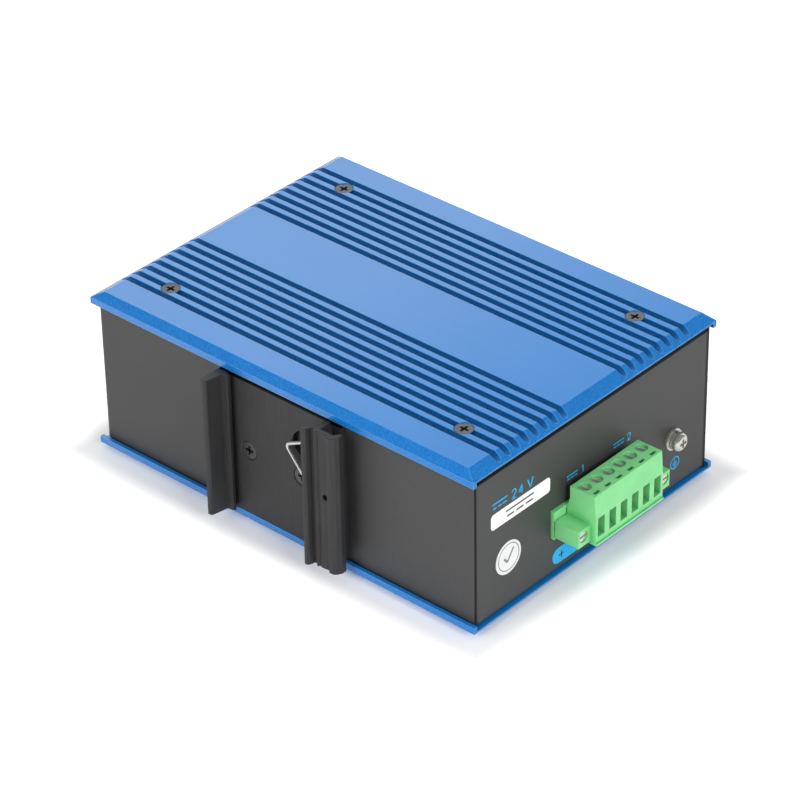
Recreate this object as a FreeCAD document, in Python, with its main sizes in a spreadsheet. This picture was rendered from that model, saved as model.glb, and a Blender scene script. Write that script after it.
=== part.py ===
"""A DIN rail Ethernet switch: a folded steel case between two ribbed aluminium covers.

The switch lies on one cover, as it would on a bench. All sizes are in millimetres.
Origin: middle of the lower cover's outer face. +Z: from the lower cover to the upper one.
+X: towards the end with the power terminal. -Y: the back, which carries the rail clip.
+Y: the front, with the port sockets.
"""

import FreeCAD, Part
import math
import os
import re

import Sketcher

os.makedirs("parts", exist_ok=True)

# Driving sizes: each one can be set by itself.
SIZES = {
    # The case as a whole.
    "case_length": 148.0,
    "case_depth": 108.0,
    "case_height": 56.0,
    # The covers: extruded along X, with a lip along both long sides.
    "end_chamfer": 3.8,
    "side_chamfer": 2.3,
    "chamfer_drop": 2.3,
    "cover_plate": 2.8,
    "lip_wall": 1.3,
    "lip_drop": 4.4,
    "groove_count": 8,
    "groove_pitch": 4.08,
    "groove_width": 2.25,
    "groove_depth": 1.9,
    "groove_margin": 11.0,
    # The folded sheet steel housing.
    "sheet": 1.2,
    "bend_outer": 1.6,
    "relief_radius": 1.5,
    "end_overhang": 1.0,
    "lip_gap": 0.6,
    "back_flange": 20.0,
    "front_flange": 20.0,
    "end_flange": 8.0,
    "seam_gap": 0.15,
    # Fasteners of the 3 mm thread size, with countersunk or pan heads.
    "screw_radius": 1.5,
    "screw_clearance": 0.1,
    "flush_head_radius": 2.8,
    "flush_head_height": 1.5,
    "flush_head_sink": 0.25,
    "pan_head_radius": 2.75,
    "pan_head_height": 2.0,
    "recess_width": 0.8,
    "recess_length": 3.0,
    "recess_depth": 1.1,
    "cover_screw_length": 7.0,
    "cover_screw_inset": 17.3,
    "board_screw_length": 6.0,
    "clip_screw_length": 6.0,
    "nut_radius": 3.0,
    "nut_height": 2.0,
    # The circuit board on its spacers.
    "board_thickness": 1.6,
    "board_end_gap": 5.0,
    "board_back_gap": 5.0,
    "board_front_gap": 4.0,
    "spacer_height": 10.1,
    "spacer_radius": 2.9,
    "spacer_inset_x": 9.5,
    "spacer_inset_y": 12.5,
    # Stacked network jacks: two ports each, one above the other.
    "jack_count": 4,
    "jack_pitch": 16.6,
    "jack_width": 15.8,
    "jack_height": 27.0,
    "jack_depth": 25.0,
    "socket_proud": 0.6,
    "shield_wall": 0.3,
    "jack_fit": 0.1,
    "port_width": 11.8,
    "port_height": 7.7,
    "port_depth": 13.5,
    "port_gap": 1.0,
    "latch_width": 6.2,
    "latch_height": 2.9,
    "contact_count": 8,
    "contact_pitch": 1.02,
    "contact_width": 0.4,
    "contact_thickness": 0.35,
    "contact_length": 9.0,
    "contact_lean": 12.0,
    # Cages for plug-in optical modules.
    "cage_count": 2,
    "cage_pitch": 15.4,
    "cage_width": 14.2,
    "cage_height": 9.9,
    "cage_depth": 47.5,
    "cage_wall": 0.4,
    "module_socket_width": 9.2,
    "module_socket_depth": 9.0,
    "module_socket_height": 6.4,
    "card_slot_height": 1.6,
    "panel_gap": 0.3,
    # Indicator lamps beside the ports.
    "lamp_radius": 1.45,
    "lamp_hole_gap": 0.15,
    "lamp_columns": 2,
    "lamp_rows": 3,
    "lamp_pitch_x": 6.0,
    "lamp_pitch_z": 6.5,
    "lamp_first_z": 5.5,
    "lamp_length": 6.0,
    "lamp_edge": 3.4,
    "lamp_block_depth": 8.0,
    # Parts on the board.
    "chip_size": 20.0,
    "chip_height": 1.5,
    "chip_from_end": 55.0,
    "sink_gap": 2.6,
    "sink_size": 34.0,
    "sink_base": 3.0,
    "sink_height": 18.0,
    "fin_count": 9,
    "fin_wall": 1.2,
    "filter_width": 14.5,
    "filter_depth": 12.0,
    "filter_height": 6.0,
    "filter_gap": 2.5,
    "coil_size": 12.5,
    "coil_height": 7.5,
    "coil_ease": 2.0,
    "coil_pitch": 17.0,
    "coil_from_end": 63.0,
    "coil_from_back": 10.5,
    "converter_length": 24.0,
    "converter_depth": 20.0,
    "converter_height": 15.0,
    "converter_core": 9.0,
    "converter_from_end": 43.0,
    "can_count": 3,
    "can_radius": 6.2,
    "can_height": 22.0,
    "can_pitch": 14.0,
    "can_gap": 4.2,
    "can_from_back": 14.5,
    "small_chip": 9.0,
    "small_chip_from_end": 21.0,
    "small_chip_pitch": 11.5,
    "small_chip_height": 1.2,
    # The power terminal: a plug held in a header by two screws.
    "pole_count": 6,
    "pole_pitch": 5.08,
    "terminal_y": 1.3,
    "body_end_wall": 2.55,
    "flange_block": 5.4,
    "header_depth": 11.6,
    "header_proud": 1.0,
    "header_height": 9.5,
    "header_wall": 1.4,
    "header_back": 3.2,
    "pin_width": 1.0,
    "pin_above_board": 4.8,
    "pin_from_back": 0.8,
    "pin_reach": 10.6,
    "pin_fit": 0.03,
    "pin_hole_radius": 0.85,
    "plug_fit": 0.25,
    "plug_step": 0.3,
    "plug_front": 11.7,
    "plug_shoulder": 2.25,
    "plug_height": 16.4,
    "plug_drop": 1.7,
    "plug_band": 7.4,
    "plug_band_lean": 0.65,
    "plug_neck_low": 8.0,
    "plug_neck_high": 10.5,
    "plug_foot": 0.45,
    "plug_foot_height": 0.8,
    "plug_flange_reach": 9.9,
    "plug_flange_height": 5.6,
    "plug_flange_rise": 1.05,
    "clamp_x": 5.5,
    "clamp_hole_radius": 2.0,
    "clamp_head_radius": 1.85,
    "clamp_head_height": 1.2,
    "clamp_head_sink": 0.85,
    "clamp_ledge": 0.6,
    "clamp_screw_radius": 1.25,
    "clamp_screw_gap": 0.06,
    "clamp_slot": 0.5,
    "clamp_slot_depth": 0.7,
    "chamber_width": 4.3,
    "chamber_length": 5.0,
    "clamp_cage_width": 3.9,
    "clamp_cage_length": 4.4,
    "clamp_cage_wall": 0.65,
    "clamp_cage_floor": 0.9,
    "clamp_cage_roof": 1.2,
    "clamp_window": 4.1,
    "clamp_rest_gap": 0.3,
    "tongue_thickness": 0.6,
    "tongue_width": 2.2,
    "tongue_above_pin": 2.9,
    "tongue_end_gap": 0.2,
    "leaf_thickness": 0.4,
    "leaf_height": 1.8,
    "leaf_length": 7.4,
    "leaf_gap": 0.05,
    "wire_entry_width": 3.0,
    "wire_entry_height": 6.4,
    "probe_width": 2.4,
    "probe_length": 1.0,
    "probe_depth": 5.0,
    "probe_x": 4.2,
    "flange_screw_radius": 1.4,
    "flange_screw_head": 1.75,
    "flange_head_height": 1.4,
    "flange_head_sink": 0.3,
    "flange_screw_low": 2.5,
    "flange_screw_inset": 2.2,
    "flange_nut_radius": 2.1,
    "flange_nut_height": 2.6,
    "flange_nut_depth": 3.2,
    # The earth screw on the same end.
    "earth_from_front": 16.1,
    "earth_z": 21.2,
    "earth_screw_length": 8.0,
    "earth_head_radius": 2.9,
    "earth_head_height": 2.3,
    "earth_flat_radius": 3.5,
    "earth_flat_height": 0.7,
    "earth_spring_radius": 3.0,
    "earth_spring_height": 1.0,
    "earth_spring_split": 0.9,
    "earth_collar_radius": 2.7,
    "earth_collar_length": 1.8,
    # The rail clip: one extrusion, its section seen along Z.
    "clip_end_gap": 0.3,
    "clip_plate": 1.9,
    "rail_slot": 1.3,
    "nose_wall": 1.1,
    "nose_reach": 1.5,
    "nose_x": -16.1,
    "nose_slope": 1.0,
    "left_hook_wall": 3.6,
    "left_hook_reach": 10.3,
    "left_tip_wall": 2.0,
    "hook_ease": 0.5,
    "web_x": 20.25,
    "hook_wall": 1.7,
    "right_hook_reach": 10.1,
    "lip_reach": 3.3,
    "lip_width": 1.9,
    "lip_rise": 1.8,
    "lip_neck": 1.1,
    "flute_depth": 0.5,
    "flute_width": 0.95,
    "ridge_x": 5.25,
    "ridge_width": 3.4,
    "ridge_rise": 0.55,
    "leg_length": 3.2,
    "clip_foot": 5.05,
    "clip_screw_mid": -0.95,
    "clip_screw_spacing": 20.6,
    "clip_screw_drop": 1.3,
    "clip_hole_radius": 4.45,
    "clip_hole_x": 11.05,
    "clip_hole_rise": 10.5,
    "stake_radius": 0.95,
    "stake_x": 4.2,
    "stake_rise": 1.7,
    # The clip's wire spring.
    "wire_radius": 0.55,
    "wire_bend": 1.3,
    "wire_lift": 0.4,
    "spring_tip_x": 4.6,
    "spring_tip_rise": 8.8,
    "spring_high_rise": 17.8,
    "spring_low_drop": 13.3,
    "spring_leg": 8.0,
    "spring_leg_x": 2.7,
    "spring_slot_rise": 13.9,
    "spring_slot_upper_height": 4.8,
    "spring_slot_drop": 14.0,
    "spring_slot_lower_height": 9.3,
    "spring_slot_depth": 1.9,
    # The round paper sticker on the terminal end.
    "sticker_radius": 5.4,
    "sticker_thickness": 0.12,
    "sticker_from_back": 13.9,
    "sticker_z": 19.9,
}

# Places worked out from the driving sizes, in the order that they are needed.
PLACES = {
    "half_length": "case_length / 2",
    "half_depth": "case_depth / 2",
    "end_wall": "half_length - end_overhang",
    "side_wall": "half_depth - lip_wall - lip_gap",
    "low_face": "cover_plate",
    "high_face": "case_height - cover_plate",
    "cover_screw_x": "half_length - cover_screw_inset",
    "cover_screw_y": "half_depth - groove_margin - groove_width / 2 - groove_pitch",
    "board_low": "low_face + sheet + spacer_height",
    "board_top": "board_low + board_thickness",
    "board_end": "half_length - board_end_gap",
    "board_back": "board_back_gap - side_wall",
    "board_front": "side_wall - board_front_gap",
    "spacer_x": "half_length - spacer_inset_x",
    "spacer_y": "half_depth - spacer_inset_y",
    "cages_width": "(cage_count - 1) * cage_pitch + cage_width",
    "jacks_width": "(jack_count - 1) * jack_pitch + jack_width",
    "lamps_width": "(lamp_columns - 1) * lamp_pitch_x + 2 * lamp_edge",
    "row_end": "spacer_x - pan_head_radius",
    "row_gap": "(2 * row_end - cages_width - jacks_width - lamps_width) / 4",
    "cage_mid_x": "row_gap + cages_width / 2 - row_end",
    "lamp_mid_x": "row_end - row_gap - lamps_width / 2",
    "jack_mid_x": "lamp_mid_x - lamps_width / 2 - row_gap - jacks_width / 2",
    "socket_front": "side_wall + socket_proud",
    "jack_back": "socket_front - jack_depth",
    "jack_mid_z": "board_top + jack_height / 2",
    "cage_back": "socket_front - cage_depth",
    "filter_back": "jack_back - filter_gap - filter_depth",
    "chip_x": "chip_from_end - half_length",
    "chip_y": "cage_back - sink_gap - sink_size / 2",
    "coil_x": "half_length - coil_from_end",
    "coil_y": "board_back + coil_from_back",
    "converter_x": "half_length - converter_from_end",
    "converter_y": "(coil_y + coil_size / 2 + filter_back) / 2",
    "small_chip_x": "small_chip_from_end - half_length",
    "small_chip_y": "board_back + small_chip_from_end",
    "lamp_low_z": "board_top + lamp_first_z",
    "earth_y": "side_wall - earth_from_front",
    "sticker_y": "sticker_from_back - side_wall",
    "flush_seat": "flush_head_sink + flush_head_height",
    "flush_cone": "(flush_head_radius - screw_radius) / flush_head_height",
    "flush_mouth": "flush_head_radius + flush_head_sink * flush_cone + screw_clearance",
    "header_front": "end_wall + header_proud",
    "header_rear": "header_front - header_depth",
    "can_x": "header_rear - can_gap - can_radius",
    "can_y": "board_back + can_from_back",
    "pin_z": "board_top + pin_above_board",
    "pin_x": "header_rear + pin_from_back",
    "block_half": "(pole_count - 1) / 2 * pole_pitch + body_end_wall",
    "terminal_half": "block_half + flange_block",
    "flange_screw_y": "terminal_half - flange_screw_inset",
    "cavity_low": "board_top + header_wall",
    "cavity_high": "board_top + header_height - header_wall",
    "plug_low": "board_top + header_wall + plug_fit",
    "body_low": "plug_low - plug_drop",
    "plug_top": "body_low + plug_height",
    "plug_face": "end_wall + plug_front",
    "plug_back": "header_rear + header_back + plug_fit",
    "plug_seat": "header_front + plug_step",
    "clamp_axis": "end_wall + clamp_x",
    "head_top": "plug_top - clamp_head_sink",
    "head_low": "head_top - clamp_head_height",
    "chamber_top": "head_low - clamp_ledge",
    "tongue_low": "pin_z + tongue_above_pin",
    "tongue_top": "tongue_low + tongue_thickness",
    "window_top": "tongue_top + clamp_rest_gap",
    "window_low": "window_top - clamp_window",
    "cage_floor_z": "window_low - clamp_cage_floor",
    "flange_screw_z": "plug_low + flange_screw_low",
    "flange_face": "end_wall + plug_flange_reach",
    "clip_front": "0 - side_wall - clip_plate",
    "slot_front": "clip_front - rail_slot",
    "land_front": "slot_front - nose_wall",
    "left_tip_y": "0 - side_wall - left_hook_reach",
    "hook_left_x": "nose_x - nose_reach - left_hook_wall",
    "lip_front": "0 - side_wall - right_hook_reach",
    "face_front": "lip_front + lip_rise",
    "mid_z": "case_height / 2",
    "clip_screw_z": "mid_z - clip_screw_drop",
    "clip_hole_z": "mid_z + clip_hole_rise",
    "stake_z": "mid_z + stake_rise",
    "spring_tip_z": "mid_z + spring_tip_rise",
    "spring_high_z": "mid_z + spring_high_rise",
    "spring_low_z": "mid_z - spring_low_drop",
    "spring_slot_upper": "mid_z + spring_slot_rise",
    "spring_slot_lower": "mid_z - spring_slot_drop",
    "clip_low": "lip_drop + clip_end_gap",
    "clip_high": "case_height - lip_drop - clip_end_gap",
    "wire_y": "clip_front - wire_lift - wire_radius",
    "spring_leg_place": "web_x + spring_leg_x",
}

doc = FreeCAD.newDocument("rail_switch")
dims = doc.addObject("Spreadsheet::Sheet", "dims")
places = doc.addObject("Spreadsheet::Sheet", "places")
WORD = re.compile(r"[a-z][a-z_]*")


def bound(formula):
    """A formula in the words above, written with the sheet that holds each word."""
    def with_sheet(match):
        word = match.group(0)
        return f"dims.{word}" if word in SIZES else f"places.{word}"
    return WORD.sub(with_sheet, str(formula))


for row, (word, number) in enumerate(SIZES.items(), 1):
    dims.set(f"A{row}", word)
    dims.set(f"B{row}", str(number))
    dims.setAlias(f"B{row}", word)
doc.recompute()
for row, (word, formula) in enumerate(PLACES.items(), 1):
    own = WORD.sub(lambda m: m.group(0) if m.group(0) in PLACES else f"dims.{m.group(0)}", formula)
    places.set(f"A{row}", word)
    places.set(f"B{row}", "=" + own)
    places.setAlias(f"B{row}", word)
doc.recompute()


def size(word):
    """The number that a word stands for, read from its sheet."""
    return float((dims if word in SIZES else places).get(word))


NODES = []


def node(obj, name):
    """Marks an object as a finished piece, and gives it the name of its file."""
    obj.Label = name
    NODES.append(obj)
    return obj


def block(name, x, y, z):
    """A box between a low and a high plane along each axis."""
    obj = doc.addObject("Part::Box", name)
    for side, letter, (low, high) in (("Length", "x", x), ("Width", "y", y), ("Height", "z", z)):
        obj.setExpression(side, bound(f"({high}) - ({low})"))
        obj.setExpression(f"Placement.Base.{letter}", bound(low))
    return obj


TURNS = {
    "x": FreeCAD.Rotation(FreeCAD.Vector(0, 1, 0), 90),
    "y": FreeCAD.Rotation(FreeCAD.Vector(1, 0, 0), -90),
    "z": FreeCAD.Rotation(),
}


def along(obj, axis, centre, low):
    """Turns a round piece to an axis and starts it at a low plane, centred in the other two."""
    obj.Placement = FreeCAD.Placement(FreeCAD.Vector(), TURNS[axis])
    others = [letter for letter in "xyz" if letter != axis]
    obj.setExpression(f"Placement.Base.{axis}", bound(low))
    for letter, formula in zip(others, centre):
        obj.setExpression(f"Placement.Base.{letter}", bound(formula))
    return obj


def rod(name, axis, centre, run, radius):
    """A cylinder along an axis, from the first plane of its run to the second."""
    obj = doc.addObject("Part::Cylinder", name)
    obj.setExpression("Radius", bound(radius))
    obj.setExpression("Height", bound(f"({run[1]}) - ({run[0]})"))
    return along(obj, axis, centre, run[0])


def cone(name, axis, centre, run, radii):
    """A cone along an axis, with a radius at each end of its run."""
    obj = doc.addObject("Part::Cone", name)
    obj.setExpression("Radius1", bound(radii[0]))
    obj.setExpression("Radius2", bound(radii[1]))
    obj.setExpression("Height", bound(f"({run[1]}) - ({run[0]})"))
    return along(obj, axis, centre, run[0])


def fuse(name, pieces):
    """One solid made of several pieces that meet or overlap."""
    if len(pieces) == 1:
        return pieces[0]
    obj = doc.addObject("Part::MultiFuse", name)
    obj.Shapes = pieces
    obj.Refine = True
    return obj


def cut(name, base, tools):
    """A piece with every tool taken out of it."""
    obj = doc.addObject("Part::Cut", name)
    obj.Base = base
    obj.Tool = fuse(f"{name}_tools", tools)
    return obj


def group(name, pieces):
    """Identical pieces kept together as one node of separate solids."""
    obj = doc.addObject("Part::Compound", name)
    obj.Links = pieces
    return obj


def mirror_pair(formula):
    """A formula and its opposite, for places on both sides of the middle."""
    return [f"0 - ({formula})", formula]


def body_plane(body, role):
    """One of a body's own origin planes."""
    return [plane for plane in body.Origin.OriginFeatures if plane.Role == role][0]


def outline(body, name, role, corners):
    """A sketch of one closed run of lines, with both distances of each corner held by a formula.

    The lines start on a circle, in order, and the distances then move them to their places.
    """
    sketch = body.newObject("Sketcher::SketchObject", name)
    sketch.AttachmentSupport = [(body_plane(body, role), "")]
    sketch.MapMode = "FlatFace"
    count = len(corners)
    ring = []
    for index in range(count):
        turn = 2 * math.pi * index / count
        ring.append(FreeCAD.Vector(10 * math.cos(turn), 10 * math.sin(turn), 0))
    for index in range(count):
        sketch.addGeometry(Part.LineSegment(ring[index], ring[(index + 1) % count]), False)
    for index in range(count):
        sketch.addConstraint(Sketcher.Constraint("Coincident", index, 2, (index + 1) % count, 1))
    for index, corner in enumerate(corners):
        for kind, formula, start in zip(("DistanceX", "DistanceY"), corner, ring[index]):
            held = sketch.addConstraint(Sketcher.Constraint(kind, -1, 1, index, 1, start))
            sketch.setExpression(f"Constraints[{held}]", bound(formula))
    return sketch


def circle(body, name, role, centre, radius):
    """A sketch of one circle, with its centre and radius held by formulas."""
    sketch = body.newObject("Sketcher::SketchObject", name)
    sketch.AttachmentSupport = [(body_plane(body, role), "")]
    sketch.MapMode = "FlatFace"
    sketch.addGeometry(Part.Circle(FreeCAD.Vector(5, 5, 0), FreeCAD.Vector(0, 0, 1), 1), False)
    for kind, formula in zip(("DistanceX", "DistanceY"), centre):
        held = sketch.addConstraint(Sketcher.Constraint(kind, -1, 1, 0, 3, 5))
        sketch.setExpression(f"Constraints[{held}]", bound(formula))
    held = sketch.addConstraint(Sketcher.Constraint("Radius", 0, 1))
    sketch.setExpression(f"Constraints[{held}]", bound(radius))
    return sketch


def both_ways(feature, length):
    """Runs a pad or pocket the same distance to both sides of its sketch."""
    feature.SideType = "Symmetric"
    feature.setExpression("Length", bound(length))


def flush_screw(name, axis, centre, top, sense, length):
    """A countersunk cross recess screw. Its head lies just below the plane top, and sense is +1
    where the thread runs up the axis, or -1 where it runs down."""
    def run(start, end):
        near, far = f"({top}) + ({sense}) * ({start})", f"({top}) + ({sense}) * ({end})"
        return (near, far) if sense > 0 else (far, near)

    radii = ("flush_head_radius", "screw_radius")
    head = cone(f"{name}_head", axis, centre, run("flush_head_sink", "flush_seat"),
                radii if sense > 0 else radii[::-1])
    shank = rod(f"{name}_shank", axis, centre, run("flush_seat", length), "screw_radius")
    return cut(name, fuse(f"{name}_solid", [head, shank]),
               cross_recess(name, axis, centre,
                            run("flush_head_sink", "flush_head_sink + recess_depth")))


def cross_recess(name, axis, centre, run):
    """Two crossed slots in a screw's head."""
    arms = []
    for index, (first, second) in enumerate((("recess_length", "recess_width"),
                                             ("recess_width", "recess_length"))):
        sides = {axis: run}
        others = [letter for letter in "xyz" if letter != axis]
        for letter, middle, span in zip(others, centre, (first, second)):
            sides[letter] = (f"({middle}) - {span} / 2", f"({middle}) + {span} / 2")
        arms.append(block(f"{name}_recess_{index}", sides["x"], sides["y"], sides["z"]))
    return arms


def cover_screw_places():
    """The four places of a cover's screws, each on the second groove from the outside."""
    return [(x, y) for x in mirror_pair("cover_screw_x") for y in mirror_pair("cover_screw_y")]


def cover(name, base_z, turn):
    """A ribbed cover, modelled with its outer face up and then placed.

    Extruded along X with its lips and grooves, then cut to length with a milled slope at both ends.
    """
    body = doc.addObject("PartDesign::Body", f"{name}_body")
    inner = "half_depth - lip_wall"
    section = outline(body, f"{name}_section", "YZ_Plane", [
        ("0 - half_depth", "0 - lip_drop"),
        (f"0 - ({inner})", "0 - lip_drop"),
        (f"0 - ({inner})", "0 - cover_plate"),
        (inner, "0 - cover_plate"),
        (inner, "0 - lip_drop"),
        ("half_depth", "0 - lip_drop"),
        ("half_depth", "0 - chamfer_drop"),
        ("half_depth - side_chamfer", "0"),
        ("side_chamfer - half_depth", "0"),
        ("0 - half_depth", "0 - chamfer_drop"),
    ])
    pad = body.newObject("PartDesign::Pad", f"{name}_pad")
    pad.Profile = section
    both_ways(pad, "case_length")
    doc.recompute()
    for end, sign in (("left", "0 - "), ("right", "")):
        slope = outline(body, f"{name}_slope_{end}", "XZ_Plane", [
            (f"{sign}(half_length - end_chamfer)", "0"),
            (f"{sign}half_length", "0 - chamfer_drop"),
            (f"{sign}(half_length + end_chamfer)", "0 - chamfer_drop"),
            (f"{sign}(half_length + end_chamfer)", "0"),
        ])
        pocket = body.newObject("PartDesign::Pocket", f"{name}_end_{end}")
        pocket.Profile = slope
        both_ways(pocket, "2 * case_depth")
        doc.recompute()
    for side, sign in (("near", "0 - "), ("far", "")):
        outer = f"{sign}(half_depth - groove_margin)"
        inner_edge = f"{sign}(half_depth - groove_margin - groove_width)"
        floor = "groove_width / 2 - groove_depth"
        groove = outline(body, f"{name}_groove_{side}", "YZ_Plane", [
            (outer, floor),
            (inner_edge, floor),
            (inner_edge, "groove_depth"),
            (outer, "groove_depth"),
        ])
        round_floor = circle(body, f"{name}_floor_{side}", "YZ_Plane",
                             (f"{sign}(half_depth - groove_margin - groove_width / 2)", floor),
                             "groove_width / 2")
        firsts = []
        for part_name, sketch in (("side", groove), ("floor", round_floor)):
            pocket = body.newObject("PartDesign::Pocket", f"{name}_first_{part_name}_{side}")
            pocket.Profile = sketch
            both_ways(pocket, "2 * case_length")
            doc.recompute()
            firsts.append(pocket)
        row = body.newObject("PartDesign::LinearPattern", f"{name}_row_{side}")
        row.Originals = firsts
        row.Direction = (groove, ["H_Axis"])
        row.Reversed = side == "far"
        row.setExpression("Length", bound("(groove_count - 1) * groove_pitch"))
        row.setExpression("Occurrences", bound("groove_count"))
        body.Tip = row
        doc.recompute()
    tools = []
    for index, centre in enumerate(cover_screw_places()):
        tools.append(cone(f"{name}_sink_{index}", "z", centre,
                          ("0 - flush_seat - screw_clearance", "0"),
                          ("screw_radius", "flush_mouth")))
        tools.append(rod(f"{name}_hole_{index}", "z", centre, ("0 - 2 * cover_plate", "cover_plate"),
                         "screw_radius + screw_clearance"))
    piece = cut(f"{name}_piece", body, tools)
    piece.Placement = FreeCAD.Placement(FreeCAD.Vector(), turn)
    piece.setExpression("Placement.Base.z", bound(base_z))
    return node(piece, name)


def cover_pieces():
    """Both covers, and the four screws of each."""
    cover("upper_cover", "case_height", FreeCAD.Rotation())
    cover("lower_cover", "0", FreeCAD.Rotation(FreeCAD.Vector(1, 0, 0), 180))
    for name, top, sense in (("upper_cover_screws", "case_height", -1),
                             ("lower_cover_screws", "0", 1)):
        screws = []
        for index, centre in enumerate(cover_screw_places()):
            screws.append(flush_screw(f"{name}_{index}", "z", centre, top, sense,
                                      "cover_screw_length"))
        node(group(f"{name}_set", screws), name)


def rounded(name, base, chosen, radius_word):
    """A piece with some of its edges rounded, chosen by a test of the edge's middle and run."""
    doc.recompute()
    radius = size(radius_word)
    edges = []
    for index, edge in enumerate(base.Shape.Edges, 1):
        middle = edge.valueAt((edge.FirstParameter + edge.LastParameter) / 2)
        run = edge.Vertexes[-1].Point - edge.Vertexes[0].Point
        if chosen(middle, run):
            edges.append((index, radius, radius))
    obj = doc.addObject("Part::Fillet", name)
    obj.Base = base
    obj.Edges = edges
    return obj


def housing_pieces():
    """The wrap, which is folded from one sheet into the back and both ends, and the front panel."""
    open_side = "side_wall - sheet - seam_gap"
    outer = block("wrap_outer", mirror_pair("end_wall"), ("0 - side_wall", open_side),
                  ("low_face", "high_face"))

    def folded(middle, run):
        upright = abs(run.z) > 1 and middle.y < 0
        level = abs(run.z) < 1 and middle.y < size("side_wall") - 2 * size("sheet")
        return upright or level

    shell = rounded("wrap_rounded", outer, folded, "bend_outer")
    inside = block("wrap_inside", mirror_pair("end_wall - sheet"),
                   ("sheet - side_wall", "2 * side_wall"),
                   ("low_face + sheet", "high_face - sheet"))
    window = block("wrap_window", mirror_pair("end_wall - end_flange"),
                   ("back_flange - side_wall", "2 * side_wall"), ("0", "case_height"))
    tools = [inside, window]
    flange_runs = {"low": ("0", "low_face + sheet"), "high": ("high_face - sheet", "case_height")}
    back_screws = [(x, "0 - cover_screw_y") for x in mirror_pair("cover_screw_x")]
    for level, run in flange_runs.items():
        for index, centre in enumerate(back_screws):
            tools.append(rod(f"wrap_hole_{level}_{index}", "z", centre, run,
                             "screw_radius + screw_clearance"))
        for index, x in enumerate(mirror_pair("end_wall")):
            tools.append(rod(f"wrap_relief_{level}_{index}", "z", (x, "0 - side_wall"), run,
                             "relief_radius"))
    for index, x in enumerate(clip_screw_places()):
        tools.append(rod(f"wrap_clip_hole_{index}", "y", (x, "clip_screw_z"),
                         ("0 - 2 * side_wall", "sheet - side_wall"), "screw_radius + screw_clearance"))
    tools.append(block("wrap_header_hole", ("end_wall - 2 * sheet", "end_wall + sheet"),
                       ("terminal_y - terminal_half - panel_gap",
                        "terminal_y + terminal_half + panel_gap"),
                       ("board_top - panel_gap", "board_top + header_height + panel_gap")))
    collar = rod("wrap_collar", "x", ("earth_y", "earth_z"),
                 ("end_wall - sheet - earth_collar_length", "end_wall - sheet / 2"),
                 "earth_collar_radius")
    steel = fuse("wrap_steel", [cut("wrap_cut", shell, tools), collar])
    bore = rod("wrap_earth_bore", "x", ("earth_y", "earth_z"),
               ("end_wall - 3 * earth_collar_length", "end_wall + sheet"),
               "screw_radius + screw_clearance")
    node(cut("wrap_piece", steel, [bore]), "housing_wrap")

    plate = block("panel_plate", mirror_pair("end_wall"), ("side_wall - sheet", "side_wall"),
                  ("low_face", "high_face"))
    flange_x = mirror_pair("end_wall - end_flange - panel_gap")
    depth = ("side_wall - front_flange", "side_wall - sheet / 2")
    solids = [plate,
              block("panel_low_flange", flange_x, depth, ("low_face", "low_face + sheet")),
              block("panel_high_flange", flange_x, depth, ("high_face - sheet", "high_face"))]
    tools = []
    front_screws = [(x, "cover_screw_y") for x in mirror_pair("cover_screw_x")]
    for level, run in flange_runs.items():
        for index, centre in enumerate(front_screws):
            tools.append(rod(f"panel_hole_{level}_{index}", "z", centre, run,
                             "screw_radius + screw_clearance"))
    through = ("side_wall - 2 * sheet", "side_wall + sheet")
    for index, x in enumerate(jack_places()):
        half = "jack_width / 2 + panel_gap"
        tools.append(block(f"panel_jack_{index}", (f"{x} - ({half})", f"{x} + {half}"), through,
                           ("board_top - panel_gap", "board_top + jack_height + panel_gap")))
    for index, x in enumerate(cage_places()):
        half = "cage_width / 2 + panel_gap"
        tools.append(block(f"panel_cage_{index}", (f"{x} - ({half})", f"{x} + {half}"), through,
                           ("board_top - panel_gap", "board_top + cage_height + panel_gap")))
    for index, centre in enumerate(lamp_places()):
        tools.append(rod(f"panel_lamp_{index}", "y", centre, through, "lamp_radius + lamp_hole_gap"))
    node(cut("panel_piece", fuse("panel_solid", solids), tools), "front_panel")


def jack_places():
    """The middle of each stacked jack along X."""
    count = int(size("jack_count"))
    return [f"jack_mid_x + ({index} - (jack_count - 1) / 2) * jack_pitch" for index in range(count)]


def cage_places():
    """The middle of each module cage along X."""
    count = int(size("cage_count"))
    return [f"cage_mid_x + ({index} - (cage_count - 1) / 2) * cage_pitch" for index in range(count)]


def lamp_places():
    """The axis of each indicator lamp, as its X and Z."""
    found = []
    for column in range(int(size("lamp_columns"))):
        for level in range(int(size("lamp_rows"))):
            found.append((f"lamp_mid_x + ({column} - (lamp_columns - 1) / 2) * lamp_pitch_x",
                          f"lamp_low_z + {level} * lamp_pitch_z"))
    return found


def clip_screw_places():
    """The X of the two screws that hold the rail clip."""
    return ["clip_screw_mid - clip_screw_spacing / 2", "clip_screw_mid + clip_screw_spacing / 2"]


def pole_places():
    """The Y of each pole of the power terminal."""
    count = int(size("pole_count"))
    return [f"terminal_y + ({index} - (pole_count - 1) / 2) * pole_pitch" for index in range(count)]


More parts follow.
